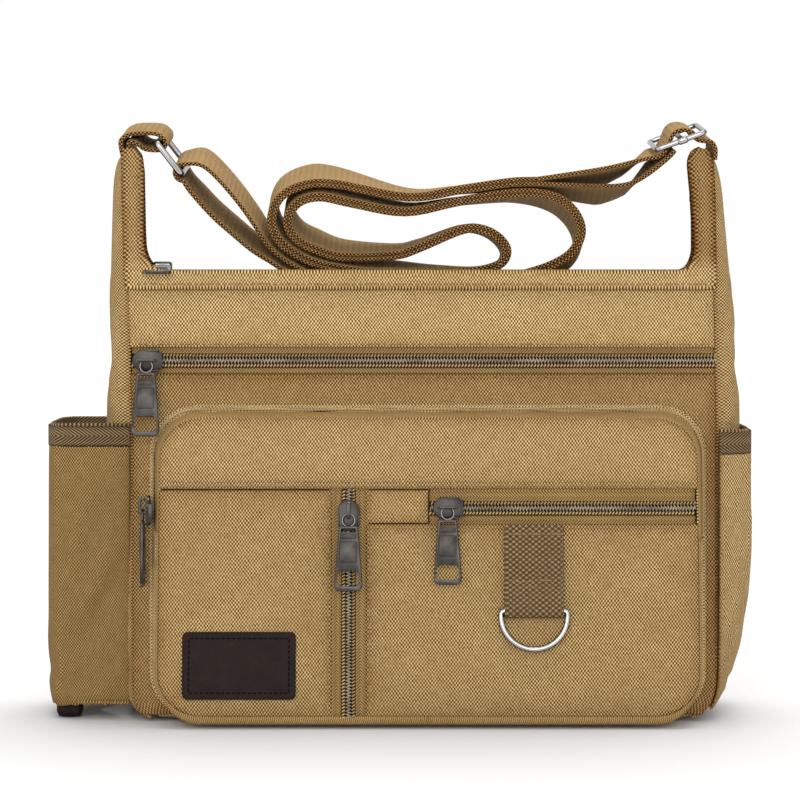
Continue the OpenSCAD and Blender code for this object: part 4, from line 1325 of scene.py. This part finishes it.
def placed(obj, origin, x_axis, z_axis):
    """Puts an object's own axes at a place, given in mm."""
    x, z = Vector(x_axis).normalized(), Vector(z_axis).normalized()
    y = z.cross(x)
    m = Matrix((x, y, z)).transposed().to_4x4()
    m.translation = Vector(origin) * MM
    obj.matrix_world = m
    return m


def axes(place, at, x_step, z_step=(0, 0, 1)):
    """An origin and two axes of a plane, from steps in its own coordinates."""
    o = place(*at)
    return o, place(*[a + b for a, b in zip(at, x_step)]) - o, \
        place(*[a + b for a, b in zip(at, z_step)]) - o


def upright(x, y, z):
    """The bag's own axes, as a plane like the others."""
    return np.array([x, y, z], float)


def crisp(obj):
    """Shades a piece smooth except at its edges."""
    obj.data.polygons.foreach_set("use_smooth", [True] * len(obj.data.polygons))
    obj.data.set_sharp_from_angle(angle=math.radians(32))
    return obj


PULLER_METALS = [GUNMETAL, GUNMETAL, DARK_METAL, RING_METAL]
BOX_SLIDER_X = -144.5 + CHAIN_T + 0.1
BRIDGE_INSIDE = SLIDER_H - 1.6
# Each zip's plane, its slider's place in it, the way its chain runs, the way out of it,
# whether its puller is in line with the chain, and how far the puller tips in degrees
SLIDERS = (("top", upright, (-142, 0, 235.6), (1, 0, 0), (0, 0, 1), False, 5.5),
           ("upper", on_front, (-147.5, ZIP_V, -CANVAS_T - 0.2), (1, 0, 0), (0, 0, 1), False, -9.5),
           ("horizontal", on_face, (12, HZIP_Q, -TAPE_DROP), (1, 0, 0), (0, 0, 1), False, -2),
           ("vertical", on_face, (VZIP_X, 106, -TAPE_DROP), (0, -1, 0), (0, 0, 1), True, -2),
           ("box", on_front, (BOX_SLIDER_X, 113, 11), (0, -1, 0), (-1, 0, 0), True, 0))
for key, place, at, x_step, z_step, inline, tip in SLIDERS:
    slider = crisp(slider_soup(inline).build(f"{key}_slider_body", [GUNMETAL], False))
    m = placed(slider, *axes(place, at, x_step, z_step))
    piece(slider, f"{key}_slider", f"{key}_zip_slider")
    pull = crisp(puller_soup(inline).build(f"{key}_puller_plate", PULLER_METALS, False))
    pivot = Matrix.Translation(Vector((-0.1, 0, BRIDGE_INSIDE) if inline else (0, 0, SLIDER_H)) * MM)
    turn = Matrix.Rotation(math.radians(90 if inline else 0), 4, "Z")
    pull.matrix_world = m @ pivot @ turn @ Matrix.Rotation(math.radians(tip), 4, "X")
    piece(pull, f"{key}_puller", f"{key}_zip_puller")


# ---- webbing ----


def ribbon(soup, near, far, thick, wide, edge=1):
    """Webbing between its near and far edges, its sides rounded; gives back its length.

    edge is the material number of its sides and ends.
    """
    near, far = np.asarray(near, float), np.asarray(far, float)
    middle = (near + far) / 2
    tangent = np.gradient(middle, axis=0)
    normal = np.cross(tangent, far - near)
    normal /= np.linalg.norm(normal, axis=1)[:, None] + 1e-9
    c = np.array([0, 0.012, 0.035, 0.08, 0.3, 0.5, 0.7, 0.92, 0.965, 0.988, 1])
    h = np.array([0.78, 0.95, 1, 0.93, 0.92, 0.92, 0.92, 0.93, 1, 0.95, 0.78]) * thick / 2
    run = along(middle)
    for sign in (1, -1):
        pts = near[:, None] * (1 - c[:, None]) + far[:, None] * c[:, None] \
            + sign * normal[:, None] * h[:, None]
        soup.grid(pts, run, c * wide, flip=sign < 0)
    a = np.linspace(PI / 2, -PI / 2, 7)
    for base_pts, out, flip in ((near, near - far, False), (far, far - near, True)):
        out = out / (np.linalg.norm(out, axis=1)[:, None] + 1e-9)
        pts = base_pts[:, None] + out[:, None] * (0.5 * np.cos(a))[:, None] \
            + normal[:, None] * (h[0] * np.sin(a))[:, None]
        soup.grid(pts, run, a * thick * 0.45, edge, flip=flip)
    for i, flip in ((0, True), (-1, False)):
        pts = near[i] * (1 - c[:, None]) + far[i] * c[:, None]
        cap = np.stack([pts + normal[i] * h[:, None], pts - normal[i] * h[:, None]], 1)
        soup.grid(cap, c * wide, [0, thick], edge, flip=flip)
    return run[-1]


def smooth_path(points, steps=5):
    """A Catmull-Rom curve through points."""
    p = np.asarray(points, float)
    q = np.concatenate([[2 * p[0] - p[1]], p, [2 * p[-1] - p[-2]]])
    out = []
    for i in range(1, len(q) - 2):
        a, b, c, d = q[i - 1:i + 3]
        for t in np.linspace(0, 1, steps, endpoint=False):
            out.append(0.5 * (2 * b + (c - a) * t + (2 * a - 5 * b + 4 * c - d) * t * t
                              + (3 * b - 3 * c + d - a) * t ** 3))
    return np.array(out + [p[-1]])


def offset_path(path, d):
    """A flat path moved d to its left."""
    t = np.gradient(path, axis=0)
    n = np.stack([-t[:, 1], t[:, 0]], -1)
    return path + d * n / (np.linalg.norm(n, axis=1)[:, None] + 1e-9)


def strap_ribbon(soup, path):
    """The strap's webbing along a path in its own plane; gives back its length."""
    x, u = path[:, 0], path[:, 1]
    return ribbon(soup, in_strap(x, u, 0.0), in_strap(x, u, STRAP_W), STRAP_T, STRAP_W)


# Paths of the webbing as (x, up) points in the strap's plane: where two runs lie together,
# the runs to the ring and to the adjuster, and the tab that holds the ring
DOUBLE_RUN = [
    (-62, 6), (-45, 2.9), (-20, 2.4), (10, 2.4), (38, 3.4), (56, 8), (70, 13), (80, 20),
    (84.5, 31), (80, 42), (69, 49.5), (50, 51.3), (19, 46.8), (-10, 41), (-38, 45.5),
    (-56, 49), (-68, 45.5), (-73.5, 35.5), (-68, 25.5), (-57, 20), (-43, 16.5), (-16, 17.5),
    (-3, 21.5), (19, 31), (29.5, 32), (39, 28), (44.5, 20.5), (41, 13), (28, 9), (10, 8.2),
    (-10, 8.2), (-30, 8.2), (-45, 10), (-60, 13.6), (-72, 20), (-79, 27), (-82, 37), (-77, 49),
    (-64, 55.5), (-47, 56), (-9, 49), (19, 53), (46, 57), (60, 57.6)]
UPPER_LEFT = [(-129, 66.6), (-122, 66.8), (-116, 64), (-108, 56), (-99, 45), (-91, 33.5),
              (-84.5, 23.5), (-76, 15.5), (-62, 7.2)]
LOWER_LEFT = [(-129, 57.6), (-125.5, 52), (-114, 38.8), (-102, 28), (-93, 20.4), (-83, 14),
              (-74, 8.5), (-62, 4.8)]
UPPER_RIGHT = [(60, 58.8), (78, 61.5), (99, 65), (116, 69), (126, 71.2), (130, 76), (133, 83),
               (138, 85), (143, 83.6), (145.5, 80), (149, 79), (153, 78.6),
               (155.5, 75), (155.5, 69)]
LOWER_RIGHT = [(60, 56.4), (75, 55.8), (90, 55.2), (103, 55.2), (112, 57), (120, 61.5), (127, 67),
               (131.5, 71), (134, 74)]
TAB_ROUTE = [(-160.4, 68), (-162.0, 75), (-161.8, 79.6), (-157.2, 82.6), (-149, 83.2), (-142, 82.4),
             (-138.2, 78.4), (-140.6, 74.4), (-148.8, 74.6), (-153.6, 77.6), (-157.4, 78.4),
             (-158.4, 74), (-158.2, 69)]
RING_HOLD, RING_PULL = (-142.5, 78.2), (-129.8, 61.6)
ADJUSTER_BARS = [(123.9, 74.7), (137.6, 79.7), (149.4, 84.0)]

HALF_GAP, TURN_R = 1.3, 4.5
strap = Soup()
double = smooth_path(DOUBLE_RUN, 5)
left_turn = [(-129 - TURN_R * math.cos(a), 62.1 + TURN_R * math.sin(a))
             for a in np.linspace(PI / 2 - 0.2, -PI / 2 + 0.2, 9)]
strap_length = sum(strap_ribbon(strap, offset_path(double, d)) for d in (HALF_GAP, -HALF_GAP))
for run in (UPPER_LEFT[::-1] + left_turn + LOWER_LEFT, UPPER_RIGHT, LOWER_RIGHT):
    strap_length += strap_ribbon(strap, smooth_path(run, 4))
strap_piece = piece(strap.build("shoulder_strap_webbing", [WEBBING, WEBBING_EDGE]),
                    replaces=("shoulder_strap", "strap_ring_end", "strap_adjuster_end"))

tab = Soup()
tab_length = strap_ribbon(tab, smooth_path(TAB_ROUTE, 6))
tab_piece = piece(tab.build("strap_ring_tab_webbing", [WEBBING, WEBBING_EDGE]),
                  replaces="strap_ring_tab")


def frame_tube(corners, radius, bend, sides=12):
    """A closed rod through corner points, rounded at each."""
    p = [np.array(c, float) for c in corners]
    path = []
    for i, c in enumerate(p):
        a, b = p[i - 1] - c, p[(i + 1) % len(p)] - c
        a, b = a / np.linalg.norm(a), b / np.linalg.norm(b)
        for t in np.linspace(0, 1, 6):
            path.append(c + a * bend * (1 - t) ** 2 + b * bend * t ** 2)
    return Soup().tube(path, radius, sides, closed=True)


def strap_frame(x, u, s):
    """The CAD's own strap frame, with its one lean, where the fittings lie."""
    a = math.radians(STRAP_LEAN)
    return np.array([x, STRAP_Y + s * math.cos(a) - u * math.sin(a),
                     STRAP_Z + s * math.sin(a) + u * math.cos(a)])


RING_ROD, BAR_ROD, INSIDE_W = 1.7, 1.45, 41.0


def fitting(first, last, rod):
    """A rectangular wire between two bars, and where its two sides lie across the strap."""
    near, far = (STRAP_W - INSIDE_W) / 2 - rod, (STRAP_W + INSIDE_W) / 2 + rod
    corners = [strap_frame(*first, near), strap_frame(*last, near), strap_frame(*last, far),
               strap_frame(*first, far)]
    return frame_tube(corners, rod, 3.0), near, far


ring = fitting(RING_HOLD, RING_PULL, RING_ROD)[0]
piece(ring.build("strap_ring_wire", NICKEL), "strap_ring", "strap_ring")

first, mid, last = ADJUSTER_BARS
slide, near_s, far_s = fitting(first, last, BAR_ROD)
slide.tube([strap_frame(*mid, s) for s in np.linspace(near_s - 0.8, far_s + 0.8, 6)], BAR_ROD, 12)
k = (np.array(last) - first) / math.dist(first, last)
for s in (near_s - 0.4, far_s + 0.4):
    slide.tube([strap_frame(*(mid + k * d), s) for d in (-2.2, -0.8, 0.8, 2.2)], 2.0, 10)
piece(slide.build("strap_adjuster_frame", NICKEL), replaces="strap_adjuster")

# The D-ring's middle, its straight bar's height, how far out it lies, its wire and radius,
# and the top, the half-width and the thickness of the tab that holds it
D_X, D_Q, D_F, D_WIRE, D_R = 57.3, 55.4, 3.4, 1.5, 17.4
D_TOP, TAB_HALF, TAB_T, TAB_BEND = 100.4, 15, 1.7, 2.75


def d_ring_wire():
    """The D-ring: a straight bar, two short corners and a half circle below."""
    path = [(x, 0) for x in np.linspace(-D_R + 2, D_R - 2, 8)]
    path += [(D_R - 0.5, -0.3), (D_R, -1.4)]
    path += [(D_R * math.cos(a), -2.6 + D_R * math.sin(a)) for a in np.linspace(0, -PI, 40)]
    path += [(-D_R, -1.4), (-D_R + 0.5, -0.3)]
    wire = [on_face(D_X + x, D_Q + q, D_F) for x, q in path]
    return Soup().tube(wire, D_WIRE, 16, closed=True).build("d_ring_wire", NICKEL)


def d_ring_tab():
    """The webbing that hangs from the horizontal zip's seam and loops round the D-ring's bar."""
    loop = [(D_TOP, 3.1), (D_TOP - 4, 3.5), (92, 3.6), (80, 4.1), (72, 3.6), (66, 4.6), (60, 6.0)]
    loop += [(D_Q - TAB_BEND * math.sin(a), D_F + TAB_BEND * math.cos(a))
             for a in np.linspace(0, PI, 9)]
    loop += [(62, 1.0), (72, 1.3), (86, 1.3), (D_TOP, 1.3)]
    near, far = ([on_face(D_X + half, q, f) for q, f in smooth_path(loop, 4)]
                 for half in (-TAB_HALF, TAB_HALF))
    soup = Soup()
    ribbon(soup, near, far, TAB_T, 2 * TAB_HALF, edge=0)
    return soup.build("d_ring_tab_webbing", [TAB])


piece(d_ring_wire(), "d_ring", "d_ring")
d_tab = piece(d_ring_tab(), replaces="d_ring_tab")


# ---- stitches ----

khaki, brown, tan = Soup(), Soup(), Soup()
front_tree = tree_of(front_low, front_band, front_hem)
back_tree = tree_of(back_low, back_hem)
face_tree = tree_of(yoke, face_left, filler, patch)
for tree, place in ((front_tree, on_front_and_ear), (back_tree, on_back_and_ear)):
    stitch_row(khaki, tree, place, [(-153, HEM_V + 1.7), (151, HEM_V + 1.7)])
    stitch_row(khaki, tree, place, [(-152.8, 258), (-152.8, 296)])
    stitch_row(khaki, tree, place, [(146.8, 256), (146.8, 294)])
for v in (ZIP_V + ZIP_GAP / 2 + 2, ZIP_V - ZIP_GAP / 2 - 2):
    stitch_row(khaki, front_tree, on_front, [(-152, v), (152, v)])
for q in (YOKE_Q + 3.9, YOKE_Q + 1.5):
    stitch_row(khaki, face_tree, on_face, [(FACE[0] + 3, q), (FACE[1] - 3, q)])
for x in (VZIP_X - VZIP_GAP / 2 - 2.2, PATCH_LEFT + 2.2):
    stitch_row(khaki, face_tree, on_face, [(x, 3), (x, YOKE_Q - 2)])
stitch_row(khaki, face_tree, on_face, [(PATCH_LEFT + 3, PATCH_Q - 2.3), (FACE[1] - 3, PATCH_Q - 2.3)])
stitch_row(khaki, face_tree, on_face, [(HZIP_LEFT - 2, PATCH_Q + 2), (HZIP_LEFT - 2, YOKE_Q - 2)])
x0, x1 = (x + side * LABEL_INSET for x, side in zip(extent("leather_patch", 0), (1, -1)))
q0, q1 = LABEL_LOW + LABEL_INSET, LABEL_HIGH - LABEL_INSET
label_path = [(x0, q0), (x1, q0), (x1, q1), (x0, q1), (x0, q0)]
label_tree = tree_of(label)
for a, b in zip(label_path, label_path[1:]):
    stitch_row(brown, label_tree, on_face, [a, b], 2.7, 1.5, 0.42, 0.02)
tab_tree = tree_of(d_tab)
for dips in ([(-14, 95.6), (14, 95.6)], [(-12, 71.0), (-4, 70.6), (4, 71.6), (12, 71.0)]):
    stitch_row(tan, tab_tree, on_face, [(D_X + x, q) for x, q in dips], 2.4, 1.9, 0.32)
piece(khaki.build("topstitching", THREAD))
piece(brown.build("label_stitching", DARK_THREAD))
piece(tan.build("tab_stitching", TAN_THREAD))


# ---- floor, light and camera ----


FLOOR_REACH = 90000
FLOOR_GREYS = ((0.56, 0.56, 0.565, 1), (0.585, 0.585, 0.585, 1))
# Each light's name, the way towards it, its spread in degrees and its strength
SUNS = (("key", (0.1, 0.27, 1.0), 42, 2.4), ("fill", (-0.1, -1.0, 0.2), 50, 2.2))
EYE, LOOKS_DOWN, LENS = (-0.013, -1.462, 0.2387), 2.72, 121.0


def studio():
    """A plain pale floor, a white world, two wide suns and the camera."""
    scene = bpy.context.scene
    x = y = FLOOR_REACH
    soup = Soup().add([(-x, -y, 0), (x, -y, 0), (x, y, 0), (-x, y, 0)], [[0, 1, 2, 3]])
    paper = Nodes("floor_paper", 0.9, specular=0.1)
    grain = paper.noise(paper.node("TexCoord").outputs["Object"], 300.0, 2.0)
    colour = paper.ramp(grain, *zip((0.0, 1.0), FLOOR_GREYS))
    soup.build("floor", paper.finish(colour))
    world = scene.world = bpy.data.worlds.new("studio")
    world.use_nodes = True
    world.node_tree.nodes["Background"].inputs[0].default_value = (1, 1, 1, 1)
    world.node_tree.nodes["Background"].inputs[1].default_value = 1.0
    for name, toward, spread, strength in SUNS:
        light = bpy.data.lights.new(name, "SUN")
        light.energy, light.angle = strength, math.radians(spread)
        lamp = bpy.data.objects.new(name, light)
        scene.collection.objects.link(lamp)
        lamp.rotation_mode = "QUATERNION"
        lamp.rotation_quaternion = Vector(toward).to_track_quat("Z", "Y")
    camera = bpy.data.cameras.new("camera")
    camera.lens, camera.sensor_width = LENS, 36.0
    camera.clip_start, camera.clip_end = 0.05, 50
    eye = bpy.data.objects.new("camera", camera)
    scene.collection.objects.link(eye)
    eye.location = EYE
    eye.rotation_euler = (math.radians(90 - LOOKS_DOWN), 0, 0)
    scene.camera = eye
    scene.view_settings.view_transform = "Standard"


studio()
